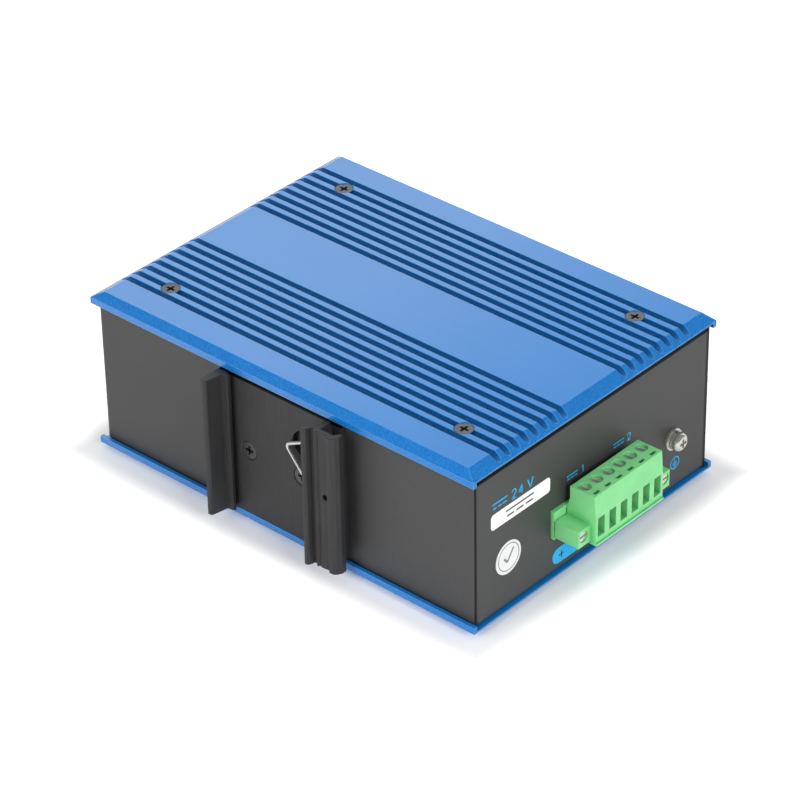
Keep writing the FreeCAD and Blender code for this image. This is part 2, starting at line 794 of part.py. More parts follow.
def press_nuts():
    """Nuts pressed into the flanges for the cover screws, and into the back for the clip screws."""
    rings = []
    levels = {"low": ("low_face + sheet", "low_face + sheet + nut_height"),
              "high": ("high_face - sheet - nut_height", "high_face - sheet")}
    for level, run in levels.items():
        for index, centre in enumerate(cover_screw_places()):
            rings.append((f"nut_{level}_{index}", "z", centre, run))
    inner = ("sheet - side_wall", "sheet - side_wall + nut_height")
    for index, x in enumerate(clip_screw_places()):
        rings.append((f"nut_clip_{index}", "y", (x, "clip_screw_z"), inner))
    nuts = []
    for name, axis, centre, run in rings:
        ring = rod(f"{name}_ring", axis, centre, run, "nut_radius")
        bore = rod(f"{name}_bore", axis, centre, (f"{run[0]} - sheet", f"{run[1]} + sheet"),
                   "screw_radius + screw_clearance")
        nuts.append(cut(name, ring, [bore]))
    node(group("nut_set", nuts), "press_nuts")


def board_pieces():
    """The circuit board, the spacers under it and the screws that hold it."""
    corners = [(x, y) for x in mirror_pair("spacer_x") for y in mirror_pair("spacer_y")]
    plate = block("board_plate", mirror_pair("board_end"), ("board_back", "board_front"),
                  ("board_low", "board_top"))
    tools = []
    spacers = []
    screws = []
    for index, centre in enumerate(corners):
        tools.append(rod(f"board_hole_{index}", "z", centre, ("board_low - sheet", "board_top + sheet"),
                         "screw_radius + screw_clearance"))
        hexagon = doc.addObject("Part::Prism", f"spacer_hex_{index}")
        hexagon.Polygon = 6
        hexagon.setExpression("Circumradius", bound("spacer_radius"))
        hexagon.setExpression("Height", bound("spacer_height"))
        along(hexagon, "z", centre, "low_face + sheet")
        bore = rod(f"spacer_bore_{index}", "z", centre, ("low_face + 2 * sheet", "board_top"),
                   "screw_radius + screw_clearance")
        spacers.append(cut(f"spacer_{index}", hexagon, [bore]))
        head_run = ("board_top", "board_top + pan_head_height")
        head = rod(f"board_head_{index}", "z", centre, head_run, "pan_head_radius")
        shank = rod(f"board_shank_{index}", "z", centre,
                    ("board_top - board_screw_length", "board_top + pan_head_height / 2"),
                    "screw_radius")
        recess = cross_recess(f"board_screw_{index}", "z", centre,
                              ("board_top + pan_head_height - recess_depth",
                               "board_top + pan_head_height + recess_depth"))
        screws.append(cut(f"board_screw_{index}", fuse(f"board_solid_{index}", [head, shank]), recess))
    for index, y in enumerate(pole_places()):
        tools.append(rod(f"board_pin_hole_{index}", "z", ("pin_x + pin_width / 2", y),
                         ("board_low - sheet", "board_top + sheet"), "pin_hole_radius"))
    node(cut("board_piece", plate, tools), "main_board")
    node(group("spacer_set", spacers), "board_spacers")
    node(group("board_screw_set", screws), "board_screws")


def port_shape(name, x, level, run, grow):
    """One port's opening: the plug's room and the narrower room for its latch.

    The lower port has its latch below and the upper one above. grow widens it all round.
    """
    away = "0 - " if level == "lower" else ""
    near = f"jack_mid_z + {away}(port_gap / 2 - {grow})"
    far = f"jack_mid_z + {away}(port_gap / 2 + port_height + {grow})"
    latch = f"jack_mid_z + {away}(port_gap / 2 + port_height + latch_height + {grow})"
    half = f"port_width / 2 + {grow}"
    latch_half = f"latch_width / 2 + {grow}"
    room = (far, near) if level == "lower" else (near, far)
    latch_room = (latch, near) if level == "lower" else (near, latch)
    return [block(f"{name}_room", (f"{x} - ({half})", f"{x} + {half}"), run, room),
            block(f"{name}_latch", (f"{x} - ({latch_half})", f"{x} + {latch_half}"), run, latch_room)]


def jack_pieces():
    """Stacked network jacks: a folded shield, a moulded body and its spring contacts."""
    for number, x in enumerate(jack_places(), 1):
        half = "jack_width / 2"
        inner = "jack_width / 2 - shield_wall"
        can = block(f"shield_can_{number}", (f"{x} - {half}", f"{x} + {half}"),
                    ("jack_back", "socket_front"), ("board_top", "board_top + jack_height"))
        room = block(f"shield_room_{number}", (f"{x} - ({inner})", f"{x} + {inner}"),
                     ("jack_back + shield_wall", "socket_front - shield_wall"),
                     ("board_top - shield_wall", "board_top + jack_height - shield_wall"))
        tools = [room]
        for level in ("lower", "upper"):
            tools += port_shape(f"shield_port_{number}_{level}", x, level,
                                ("socket_front - 2 * shield_wall", "socket_front + shield_wall"),
                                "jack_fit")
        node(cut(f"shield_{number}", can, tools), f"jack_shield_{number}")

        core = "jack_width / 2 - shield_wall - jack_fit"
        front = "socket_front - shield_wall - jack_fit"
        moulding = block(f"jack_moulding_{number}", (f"{x} - ({core})", f"{x} + {core}"),
                         ("jack_back + shield_wall + jack_fit", front),
                         ("board_top", "board_top + jack_height - shield_wall - jack_fit"))
        tools = []
        for level in ("lower", "upper"):
            tools += port_shape(f"jack_port_{number}_{level}", x, level,
                                (f"{front} - port_depth", f"{front} + port_depth"), "0")
        node(cut(f"jack_core_{number}", moulding, tools), f"jack_body_{number}")
        jack_contacts(number, x, f"{front} - port_depth")


def jack_contacts(number, x, back):
    """The contact springs of a jack's two ports. Each leans from the back of its port into it."""
    springs = []
    for level, sign, lean in (("lower", "0 - ", "contact_lean"), ("upper", "", "0 - contact_lean")):
        for index in range(int(size("contact_count"))):
            spring = doc.addObject("Part::Box", f"contact_{number}_{level}_{index}")
            spring.setExpression("Length", bound("contact_width"))
            spring.setExpression("Width", bound("contact_length"))
            spring.setExpression("Height", bound("contact_thickness"))
            middle = f"{x} + ({index} - (contact_count - 1) / 2) * contact_pitch"
            root = f"jack_mid_z + {sign}(port_gap / 2 + 2 * contact_thickness)"
            spring.Placement = FreeCAD.Placement(FreeCAD.Vector(), FreeCAD.Vector(1, 0, 0), 0)
            spring.setExpression("Placement.Rotation.Angle", bound(f"0 - ({lean})"))
            spring.setExpression("Placement.Base.x", bound(f"{middle} - contact_width / 2"))
            spring.setExpression("Placement.Base.y", bound(f"{back} + contact_thickness / 4"))
            spring.setExpression("Placement.Base.z", bound(f"{root} - contact_thickness / 2"))
            springs.append(spring)
    node(group(f"contact_set_{number}", springs), f"jack_contacts_{number}")


def cage_pieces():
    """Module cages of thin folded metal, each with a card edge socket inside its back end."""
    for number, x in enumerate(cage_places(), 1):
        half = "cage_width / 2"
        inner = "cage_width / 2 - cage_wall"
        socket_half = "module_socket_width / 2"
        can = block(f"cage_can_{number}", (f"{x} - {half}", f"{x} + {half}"),
                    ("cage_back", "socket_front"), ("board_top", "board_top + cage_height"))
        room = block(f"cage_room_{number}", (f"{x} - ({inner})", f"{x} + {inner}"),
                     ("cage_back + cage_wall", "socket_front + cage_wall"),
                     ("board_top + cage_wall", "board_top + cage_height - cage_wall"))
        socket_y = ("cage_back + 2 * cage_wall", "cage_back + 2 * cage_wall + module_socket_depth")
        window = block(f"cage_window_{number}",
                       (f"{x} - {socket_half} - cage_wall", f"{x} + {socket_half} + cage_wall"),
                       (f"{socket_y[0]} - cage_wall / 2", f"{socket_y[1]} + cage_wall"),
                       ("board_top - cage_wall", "board_top + 2 * cage_wall"))
        node(cut(f"cage_{number}", can, [room, window]), f"module_cage_{number}")

        top = "board_top + module_socket_height"
        socket = block(f"socket_block_{number}", (f"{x} - {socket_half}", f"{x} + {socket_half}"),
                       socket_y, ("board_top", top))
        slot = block(f"socket_slot_{number}",
                     (f"{x} - {socket_half} + cage_wall", f"{x} + {socket_half} - cage_wall"),
                     (f"{socket_y[1]} - module_socket_depth / 2", f"{socket_y[1]} + cage_wall"),
                     (f"{top} - 2 * card_slot_height", f"{top} - card_slot_height"))
        node(cut(f"socket_{number}", socket, [slot]), f"module_socket_{number}")


def lamp_pieces():
    """Indicator lamps with domed ends, held in a moulded block that stands on the board."""
    span = "lamps_width / 2"
    inner_face = "side_wall - sheet - panel_gap"
    holder = block("lamp_block", (f"lamp_mid_x - {span}", f"lamp_mid_x + {span}"),
                   (f"{inner_face} - lamp_block_depth", inner_face),
                   ("board_top", "lamp_low_z + (lamp_rows - 1) * lamp_pitch_z + lamp_edge"))
    lamps = []
    tools = []
    shoulder = "side_wall - lamp_radius / 2"
    for index, centre in enumerate(lamp_places()):
        stem = rod(f"lamp_stem_{index}", "y", centre, (f"{shoulder} - lamp_length", shoulder),
                   "lamp_radius")
        dome = doc.addObject("Part::Sphere", f"lamp_dome_{index}")
        dome.setExpression("Radius", bound("lamp_radius"))
        dome.setExpression("Placement.Base.x", bound(centre[0]))
        dome.setExpression("Placement.Base.y", bound(shoulder))
        dome.setExpression("Placement.Base.z", bound(centre[1]))
        lamps.append(fuse(f"lamp_{index}", [stem, dome]))
        tools.append(rod(f"lamp_bore_{index}", "y", centre,
                         (f"{shoulder} - lamp_length", "side_wall"), "lamp_radius + pin_fit"))
    node(cut("lamp_block_piece", holder, tools), "lamp_holder")
    node(group("lamp_set", lamps), "indicator_lamps")


def chip_pieces():
    """The switch chip with its finned heat sink, and the smaller chips."""
    def square(name, x, y, side, z):
        return block(name, (f"{x} - {side} / 2", f"{x} + {side} / 2"),
                     (f"{y} - {side} / 2", f"{y} + {side} / 2"), z)

    node(square("chip", "chip_x", "chip_y", "chip_size", ("board_top", "board_top + chip_height")),
         "switch_chip")
    seat = "board_top + chip_height"
    fins = [square("sink_plate", "chip_x", "chip_y", "sink_size", (seat, f"{seat} + sink_base"))]
    for index in range(int(size("fin_count"))):
        low = (f"chip_y - sink_size / 2 + {index} * (sink_size - fin_wall) / (fin_count - 1)")
        fins.append(block(f"sink_fin_{index}", ("chip_x - sink_size / 2", "chip_x + sink_size / 2"),
                          (low, f"{low} + fin_wall"),
                          (f"{seat} + sink_base / 2", f"{seat} + sink_height")))
    node(fuse("sink_piece", fins), "chip_heat_sink")
    packs = []
    spots = (("small_chip_x", "chip_y"), ("small_chip_x", "small_chip_y"),
             ("small_chip_x + small_chip_pitch", "small_chip_y"))
    for index, (x, y) in enumerate(spots):
        packs.append(square(f"small_chip_{index}", x, y, "small_chip",
                            ("board_top", "board_top + small_chip_height")))
    node(group("small_chip_set", packs), "support_chips")


def power_parts():
    """Signal transformers behind the jacks, and the coils, converter and capacitors."""
    filters = []
    for index, x in enumerate(jack_places()):
        filters.append(block(f"filter_{index}", (f"{x} - filter_width / 2", f"{x} + filter_width / 2"),
                             ("filter_back", "filter_back + filter_depth"),
                             ("board_top", "board_top + filter_height")))
    node(group("filter_set", filters), "signal_transformers")

    coils = []
    for index in range(2):
        middle = f"coil_x + {index} * coil_pitch"
        coil = block(f"coil_block_{index}", (f"{middle} - coil_size / 2", f"{middle} + coil_size / 2"),
                     ("coil_y - coil_size / 2", "coil_y + coil_size / 2"),
                     ("board_top", "board_top + coil_height"))
        coils.append(rounded(f"coil_{index}", coil, lambda middle, run: abs(run.z) > 1, "coil_ease"))
    node(group("coil_set", coils), "power_coils")

    wide = "converter_length / 2"
    deep = "converter_depth / 2"
    base = block("converter_base", (f"converter_x - {wide}", f"converter_x + {wide}"),
                 (f"converter_y - {deep}", f"converter_y + {deep}"),
                 ("board_top", "board_top + converter_height - converter_core"))
    core = block("converter_top", (f"converter_x - {wide}", f"converter_x + {wide}"),
                 (f"converter_y - {deep} * 3 / 5", f"converter_y + {deep} * 3 / 5"),
                 ("board_top + sheet", "board_top + converter_height"))
    winding = rod("converter_winding", "x", ("converter_y", "board_top + converter_height / 2"),
                  (f"converter_x - {wide} + sheet", f"converter_x + {wide} - sheet"),
                  "converter_height / 2")
    node(fuse("converter_piece", [base, core, winding]), "power_transformer")

    cans = []
    for index in range(int(size("can_count"))):
        cans.append(rod(f"can_{index}", "z", ("can_x", f"can_y + {index} * can_pitch"),
                        ("board_top", "board_top + can_height"), "can_radius"))
    node(group("can_set", cans), "bulk_capacitors")


def header_pieces():
    """The header on the board's edge, with its pins and the nuts for the plug's screws."""
    case = block("header_case", ("header_rear", "header_front"),
                 ("terminal_y - terminal_half", "terminal_y + terminal_half"),
                 ("board_top", "board_top + header_height"))
    tools = [block("header_cavity", ("header_rear + header_back", "header_front + header_wall"),
                   ("terminal_y - block_half", "terminal_y + block_half"),
                   ("cavity_low", "cavity_high"))]
    pins = []
    for index, y in enumerate(pole_places()):
        for name, fit, group_of in (("pin", "0", pins), ("pin_way", "pin_fit", tools)):
            sides = (f"{y} - pin_width / 2 - {fit}", f"{y} + pin_width / 2 + {fit}")
            level = ("pin_z - pin_width / 2 - " + fit, "pin_z + pin_width / 2 + " + fit)
            flat = block(f"{name}_flat_{index}", (f"pin_x - {fit}", "pin_x + pin_reach"), sides, level)
            tail = block(f"{name}_tail_{index}", (f"pin_x - {fit}", f"pin_x + pin_width + {fit}"),
                         sides, ("board_low - pin_width", f"pin_z + {fit}"))
            group_of.append(fuse(f"{name}_{index}", [flat, tail]))
    nuts = []
    for index, offset in enumerate(mirror_pair("flange_screw_y")):
        centre = (f"terminal_y + ({offset})", "flange_screw_z")
        nut_run = ("header_rear + flange_nut_depth - flange_nut_height",
                   "header_rear + flange_nut_depth")
        tools.append(rod(f"header_bore_{index}", "x", centre,
                         ("header_rear - header_wall", "header_front + header_wall"),
                         "flange_screw_radius + screw_clearance"))
        tools.append(rod(f"header_pocket_{index}", "x", centre,
                         ("header_rear - header_wall", nut_run[1]), "flange_nut_radius + pin_fit"))
        ring = rod(f"header_nut_ring_{index}", "x", centre, nut_run, "flange_nut_radius")
        bore = rod(f"header_nut_bore_{index}", "x", centre,
                   ("header_rear - header_wall", "header_front"),
                   "flange_screw_radius + screw_clearance")
        nuts.append(cut(f"header_nut_{index}", ring, [bore]))
    node(cut("header_piece", case, tools), "power_header")
    node(group("pin_set", pins), "header_pins")
    node(group("header_nut_set", nuts), "header_nuts")


def plug_body():
    """The plug's green moulding: one section along Y, then the ways for screws, cages and wires."""
    body = doc.addObject("PartDesign::Body", "plug_body")
    body.Placement = FreeCAD.Placement()
    half_run = "block_half - plug_fit"
    section = outline(body, "plug_section", "XZ_Plane", [
        ("plug_seat", "body_low"),
        ("plug_face + plug_foot", "body_low"),
        ("plug_face + plug_foot", "body_low + plug_foot_height"),
        ("plug_face", "body_low + plug_foot_height"),
        ("plug_face", "plug_top - plug_band"),
        ("plug_face - plug_band_lean", "plug_top"),
        ("end_wall + plug_shoulder", "plug_top"),
        ("end_wall + plug_shoulder", "plug_low + plug_neck_high"),
        ("plug_seat", "plug_low + plug_neck_low"),
    ])
    pad = body.newObject("PartDesign::Pad", "plug_pad")
    pad.Profile = section
    both_ways(pad, "2 * block_half")
    body.setExpression("Placement.Base.y", bound("terminal_y"))
    solids = [body,
              block("plug_nose", ("plug_back", "plug_seat + plug_fit"),
                    (f"terminal_y - ({half_run})", f"terminal_y + {half_run}"),
                    ("plug_low", "cavity_high - plug_fit"))]
    for index, (inner, outer) in enumerate((("block_half - plug_fit", "terminal_half"),
                                            ("0 - terminal_half", "plug_fit - block_half"))):
        solids.append(block(f"plug_flange_{index}", ("plug_seat", "flange_face"),
                            (f"terminal_y + ({inner})", f"terminal_y + ({outer})"),
                            ("body_low + plug_flange_rise",
                             "body_low + plug_flange_rise + plug_flange_height")))
    tools = []
    for index, y in enumerate(pole_places()):
        tools += pole_ways(index, y)
    for index, offset in enumerate(mirror_pair("flange_screw_y")):
        centre = (f"terminal_y + ({offset})", "flange_screw_z")
        tools.append(rod(f"plug_screw_way_{index}", "x", centre, ("header_front", "2 * end_wall"),
                         "flange_screw_radius + screw_clearance"))
        tools.append(rod(f"plug_head_way_{index}", "x", centre,
                         ("flange_face - flange_head_sink - flange_head_height", "2 * end_wall"),
                         "flange_screw_head + screw_clearance"))
    return cut("plug_piece", fuse("plug_solid", solids), tools)


def pole_ways(index, y):
    """The room that one pole takes out of the plug."""
    half_chamber = "chamber_width / 2"
    half_length = "chamber_length / 2"
    half_entry = "wire_entry_width / 2"
    half_probe = "probe_width / 2"
    front = f"clamp_axis + {half_length}"
    probe_low = "clamp_axis + probe_x"
    centre = ("clamp_axis", y)
    return [
        rod(f"plug_head_{index}", "z", centre, ("head_low", "plug_top + sheet"), "clamp_hole_radius"),
        rod(f"plug_ledge_{index}", "z", centre, ("chamber_top - sheet", "head_low + sheet / 2"),
            "clamp_screw_radius + screw_clearance"),
        block(f"plug_chamber_{index}", (f"clamp_axis - {half_length}", front),
              (f"{y} - {half_chamber}", f"{y} + {half_chamber}"),
              ("cage_floor_z - pin_fit", "chamber_top")),
        block(f"plug_entry_{index}", (f"{front} - sheet", "plug_face + sheet"),
              (f"{y} - {half_entry}", f"{y} + {half_entry}"),
              ("plug_top - plug_band - wire_entry_height - pin_fit", "plug_top - plug_band - pin_fit")),
        block(f"plug_probe_{index}", (f"{probe_low} - probe_length / 2", f"{probe_low} + probe_length / 2"),
              (f"{y} - {half_probe}", f"{y} + {half_probe}"), ("plug_top - probe_depth", "plug_top + sheet")),
        block(f"plug_way_{index}", ("plug_back - sheet", f"clamp_axis - {half_length} + sheet"),
              (f"{y} - tongue_width / 2 - leaf_gap", f"{y} + tongue_width / 2 + leaf_gap"),
              ("pin_z - leaf_height / 2 - leaf_gap", "pin_z + leaf_height / 2 + leaf_gap")),
        block(f"plug_riser_{index}",
              (f"clamp_axis - {half_length} - 2 * tongue_thickness - leaf_gap",
               f"clamp_axis - {half_length} + sheet"),
              (f"{y} - tongue_width / 2 - leaf_gap", f"{y} + tongue_width / 2 + leaf_gap"),
              ("pin_z - leaf_height / 2 - leaf_gap", "tongue_top + leaf_gap")),
    ]


def plug_pieces():
    """The plug: its body, contacts, flange screws, and a screw and a rising cage for each pole."""
    node(plug_body(), "terminal_plug")
    contacts = []
    riser_x = "clamp_axis - chamber_length / 2 - 2 * tongue_thickness"
    for number, y in enumerate(pole_places(), 1):
        half = "tongue_width / 2"
        tongue = block(f"tongue_{number}", (riser_x, "clamp_axis + chamber_length / 2 - tongue_end_gap"),
                       (f"{y} - {half}", f"{y} + {half}"), ("tongue_low", "tongue_top"))
        riser = block(f"riser_{number}", (riser_x, f"{riser_x} + tongue_thickness"),
                      (f"{y} - {half}", f"{y} + {half}"), ("pin_z - leaf_height / 2", "tongue_top"))
        leaves = []
        for side, sign in (("near", "-"), ("far", "+")):
            near = f"{y} {sign} (pin_width / 2 + leaf_gap)"
            far = f"{y} {sign} (pin_width / 2 + leaf_gap + leaf_thickness)"
            run = (far, near) if side == "near" else (near, far)
            leaves.append(block(f"leaf_{side}_{number}", (f"{riser_x} - leaf_length", f"{riser_x} + leaf_thickness"),
                                run, ("pin_z - leaf_height / 2", "pin_z + leaf_height / 2")))
        contacts.append(fuse(f"plug_contact_{number}", [tongue, riser] + leaves))
        clamp_screw(number, y)
        clamp_cage(number, y)
    node(group("plug_contact_set", contacts), "plug_contacts")

    screws = []
    for index, offset in enumerate(mirror_pair("flange_screw_y")):
        y = f"terminal_y + ({offset})"
        centre = (y, "flange_screw_z")
        face = "flange_face - flange_head_sink"
        seat = f"{face} - flange_head_height"
        head = rod(f"flange_head_{index}", "x", centre, (seat, face), "flange_screw_head")
        shank = rod(f"flange_shank_{index}", "x", centre,
                    ("header_rear + flange_nut_depth - flange_nut_height", face), "flange_screw_radius")
        slot = block(f"flange_slot_{index}", (f"{face} - clamp_slot_depth", f"{face} + clamp_slot_depth"),
                     (f"{y} - 2 * flange_screw_head", f"{y} + 2 * flange_screw_head"),
                     ("flange_screw_z - clamp_slot / 2", "flange_screw_z + clamp_slot / 2"))
        screws.append(cut(f"flange_screw_{index}", fuse(f"flange_solid_{index}", [head, shank]), [slot]))
    node(group("flange_screw_set", screws), "plug_flange_screws")


def clamp_screw(number, y):
    """A slotted screw, which turns in its place and draws its cage up along the thread."""
    centre = ("clamp_axis", y)
    head = rod(f"clamp_head_{number}", "z", centre, ("head_low", "head_top"), "clamp_head_radius")
    shank = rod(f"clamp_shank_{number}", "z", centre,
                ("tongue_top + clamp_rest_gap / 2", "head_low + clamp_head_height / 2"),
                "clamp_screw_radius")
    slot = block(f"clamp_slot_{number}",
                 ("clamp_axis - 2 * clamp_head_radius", "clamp_axis + 2 * clamp_head_radius"),
                 (f"{y} - clamp_slot / 2", f"{y} + clamp_slot / 2"),
                 ("head_top - clamp_slot_depth", "head_top + clamp_slot_depth"))
    node(cut(f"clamp_screw_cut_{number}", fuse(f"clamp_solid_{number}", [head, shank]), [slot]),
         f"clamp_screw_{number}")


def clamp_cage(number, y):
    """A square brass cage at its lowest place, with the wire's window open along X."""
    half = "clamp_cage_width / 2"
    inner = "clamp_cage_width / 2 - clamp_cage_wall"
    length = "clamp_cage_length / 2"
    frame = block(f"cage_frame_{number}", (f"clamp_axis - {length}", f"clamp_axis + {length}"),
                  (f"{y} - {half}", f"{y} + {half}"), ("cage_floor_z", "window_top + clamp_cage_roof"))
    window = block(f"cage_opening_{number}",
                   (f"clamp_axis - 2 * {length}", f"clamp_axis + 2 * {length}"),
                   (f"{y} - ({inner})", f"{y} + {inner}"), ("window_low", "window_top"))
    thread = rod(f"cage_thread_{number}", "z", ("clamp_axis", y),
                 ("window_top - clamp_cage_roof / 2", "window_top + 2 * clamp_cage_roof"),
                 "clamp_screw_radius + clamp_screw_gap")
    node(cut(f"cage_cut_{number}", frame, [window, thread]), f"clamp_cage_{number}")


def earth_pieces():
    """The earth screw on the terminal end, with its flat washer and split spring washer."""
    centre = ("earth_y", "earth_z")
    spring_low = "end_wall + earth_flat_height"
    head_low = f"{spring_low} + earth_spring_height"
    bore = "screw_radius + screw_clearance"

    def washer(name, run, radius, extra):
        ring = rod(f"{name}_ring", "x", centre, run, radius)
        hole = rod(f"{name}_hole", "x", centre, (f"{run[0]} - sheet", f"{run[1]} + sheet"), bore)
        return cut(f"{name}_piece", ring, [hole] + extra)

    node(washer("earth_flat", ("end_wall", spring_low), "earth_flat_radius", []),
         "earth_flat_washer")
    split = block("earth_split", (f"{spring_low} - sheet", f"{head_low} + sheet"),
                  ("earth_y - earth_spring_split / 2", "earth_y + earth_spring_split / 2"),
                  ("earth_z", "earth_z + 2 * earth_spring_radius"))
    node(washer("earth_spring", (spring_low, head_low), "earth_spring_radius", [split]),
         "earth_spring_washer")
    head_top = f"{head_low} + earth_head_height"
    head = rod("earth_head", "x", centre, (head_low, head_top), "earth_head_radius")
    shank = rod("earth_shank", "x", centre, (f"{head_low} - earth_screw_length", head_top),
                "screw_radius")
    domed = rounded("earth_domed", fuse("earth_solid", [head, shank]),
                    lambda middle, run: middle.x > size("end_wall") + size("earth_flat_height")
                    + size("earth_spring_height") + 0.9 * size("earth_head_height"), "screw_radius")
    recess = cross_recess("earth_screw", "x", centre,
                          (f"{head_top} - recess_depth", f"{head_top} + recess_depth"))
    node(cut("earth_screw_piece", domed, recess), "earth_screw")


def clip_pieces():
    """The rail clip, its two screws and its wire spring."""
    body = doc.addObject("PartDesign::Body", "clip_body")
    body.setExpression("Placement.Base.z", bound("clip_low"))
    wall = "0 - side_wall"
    ridge_left = "web_x + ridge_x"
    ridge_right = "web_x + ridge_x + ridge_width"
    lip_left = "web_x - lip_reach"
    flute = "face_front + flute_depth"
    under = "face_front + hook_wall"
    section = outline(body, "clip_section", "XY_Plane", [
        ("hook_left_x", wall),
        ("hook_left_x", "left_tip_y + hook_ease"),
        ("hook_left_x + hook_ease", "left_tip_y"),
        ("hook_left_x + left_tip_wall - hook_ease", "left_tip_y"),
        ("hook_left_x + left_tip_wall", "left_tip_y + hook_ease"),
        ("hook_left_x + left_tip_wall + nose_slope", "land_front - hook_ease / 2"),
        ("nose_x", "land_front"),
        ("nose_x", "slot_front"),
        ("nose_x - nose_reach", "slot_front"),
        ("nose_x - nose_reach", "clip_front"),
        ("web_x", "clip_front"),
        ("web_x", f"{under} - hook_ease"),
        (f"{lip_left} + lip_neck", "lip_front + lip_width"),
        (lip_left, "lip_front + lip_width / 2"),
        (lip_left, "lip_front + hook_ease"),
        (f"{lip_left} + hook_ease", "lip_front"),
        (f"{lip_left} + lip_width - hook_ease", "lip_front"),
        (f"{lip_left} + lip_width", "lip_front + hook_ease"),
        (f"{lip_left} + lip_width + hook_ease", flute),
        (f"{lip_left} + lip_width + hook_ease + flute_width", flute),
        (f"{lip_left} + lip_width + 2 * flute_width", "face_front - flute_depth / 2"),
        (f"{lip_left} + lip_width + 5 / 2 * flute_width", "face_front - flute_depth / 2"),
        (f"{lip_left} + lip_width + 3 * flute_width", "face_front + flute_depth / 2"),
        (f"{lip_left} + lip_width + 4 * flute_width", "face_front"),
        (ridge_left, "face_front + flute_depth / 2"),
        (f"{ridge_left} + flute_depth / 2", "face_front - ridge_rise"),
        (f"{ridge_left} + ridge_width / 2", "face_front - ridge_rise"),
        (f"{ridge_right} - ridge_width / 5", "face_front + ridge_rise / 2"),
        (ridge_right, "face_front + 3 * ridge_rise"),
        (ridge_right, "face_front + leg_length"),
        (f"{ridge_right} - hook_wall + hook_ease", "face_front + leg_length"),
        (f"{ridge_right} - hook_wall", f"{under} + hook_ease"),
        (f"{ridge_right} - hook_wall - hook_ease", under),
        ("web_x + hook_wall", under),
        ("web_x + hook_wall", "clip_front"),
        ("web_x + clip_foot", "clip_front"),
        ("web_x + clip_foot", wall),
    ])
    pad = body.newObject("PartDesign::Pad", "clip_pad")
    pad.Profile = section
    pad.setExpression("Length", bound("clip_high - clip_low"))
    tools = []
    for index, x in enumerate(clip_screw_places()):
        centre = (x, "clip_screw_z")
        tools.append(cone(f"clip_sink_{index}", "y", centre,
                          ("clip_front", "clip_front + flush_seat + screw_clearance"),
                          ("flush_mouth", "screw_radius")))
        tools.append(rod(f"clip_bore_{index}", "y", centre, ("clip_front - sheet", "sheet - side_wall"),
                         "screw_radius + screw_clearance"))
    tools.append(rod("clip_window", "y", ("clip_hole_x", "clip_hole_z"),
                     ("clip_front - sheet", "sheet - side_wall"), "clip_hole_radius"))
    tools.append(rod("clip_stake", "y", ("web_x + stake_x", "stake_z"),
                     ("lip_front - sheet", f"{under} + sheet"), "stake_radius"))
    slot_y = ("clip_front - spring_slot_depth", "clip_front")
    slot_x = ("web_x - sheet", "web_x + hook_wall + sheet")
    for level in ("upper", "lower"):
        low = f"spring_slot_{level}"
        tools.append(block(f"clip_slot_{level}", slot_x, slot_y, (low, f"{low} + {low}_height")))
    node(cut("clip_piece", body, tools), "din_clip")

    screws = []
    for index, x in enumerate(clip_screw_places()):
        screws.append(flush_screw(f"clip_screw_{index}", "y", (x, "clip_screw_z"), "clip_front", 1,
                                  "clip_screw_length"))
    node(group("clip_screw_set", screws), "din_clip_screws")


def bent_wire(points, wire_radius, bend):
    """Round wire along straight runs that are joined by tangent arcs of one bend radius."""
    edges = []
    start = points[0]
    for before, corner, after in zip(points, points[1:], points[2:]):
        back = (before - corner).normalize()
        ahead = (after - corner).normalize()
        half_turn = (math.pi - back.getAngle(ahead)) / 2
        reach = bend * math.tan(half_turn)
        first = corner + back * reach
        last = corner + ahead * reach
        inward = (back + ahead).normalize()
        middle = corner + inward * (bend / math.cos(half_turn) - bend)
        edges.append(Part.LineSegment(start, first).toShape())
        edges.append(Part.Arc(first, middle, last).toShape())
        start = last
    edges.append(Part.LineSegment(start, points[-1]).toShape())
    path = Part.Wire(edges)
    heading = points[1] - points[0]
    section = Part.Wire([Part.Circle(points[0], heading, wire_radius).toShape()])
    return path.makePipeShell([section], True, False)


def spring_piece():
    """The wire spring: a V that stands out over the rail, with a leg at each end in the hook."""
    y = size("wire_y")
    leg_x = size("spring_leg_place")
    high = size("spring_high_z")
    low = size("spring_low_z")
    leg = size("spring_leg")
    points = [
        FreeCAD.Vector(leg_x, y, high - leg),
        FreeCAD.Vector(leg_x, y, high),
        FreeCAD.Vector(size("spring_tip_x"), y, size("spring_tip_z")),
        FreeCAD.Vector(leg_x, y, low),
        FreeCAD.Vector(leg_x, y, low + leg),
    ]
    obj = doc.addObject("Part::Feature", "spring_wire")
    obj.Shape = bent_wire(points, size("wire_radius"), size("wire_bend"))
    obj.Placement = FreeCAD.Placement()
    node(obj, "din_spring_wire")


def sticker_piece():
    """The round sticker on the terminal end."""
    node(rod("sticker", "x", ("sticker_y", "sticker_z"), ("end_wall", "end_wall + sticker_thickness"),
             "sticker_radius"), "round_sticker")


cover_pieces()
housing_pieces()
press_nuts()
board_pieces()
jack_pieces()
cage_pieces()
lamp_pieces()
chip_pieces()
power_parts()
header_pieces()
plug_pieces()
earth_pieces()
clip_pieces()
spring_piece()
sticker_piece()
doc.recompute()

faults = [f"{obj.Name}: {obj.State}" for obj in doc.Objects
          if "Invalid" in obj.State or "Error" in obj.State]
for piece in NODES:
    shape = piece.Shape
    if shape.isNull() or not shape.isValid() or not shape.Solids:
        faults.append(f"{piece.Label}: no valid solid")
if faults:
    raise RuntimeError("; ".join(faults))
for piece in NODES:
    piece.Shape.exportStep(f"parts/{piece.Label}.step")
print(len(NODES), "pieces,", sum(len(piece.Shape.Solids) for piece in NODES), "solids")
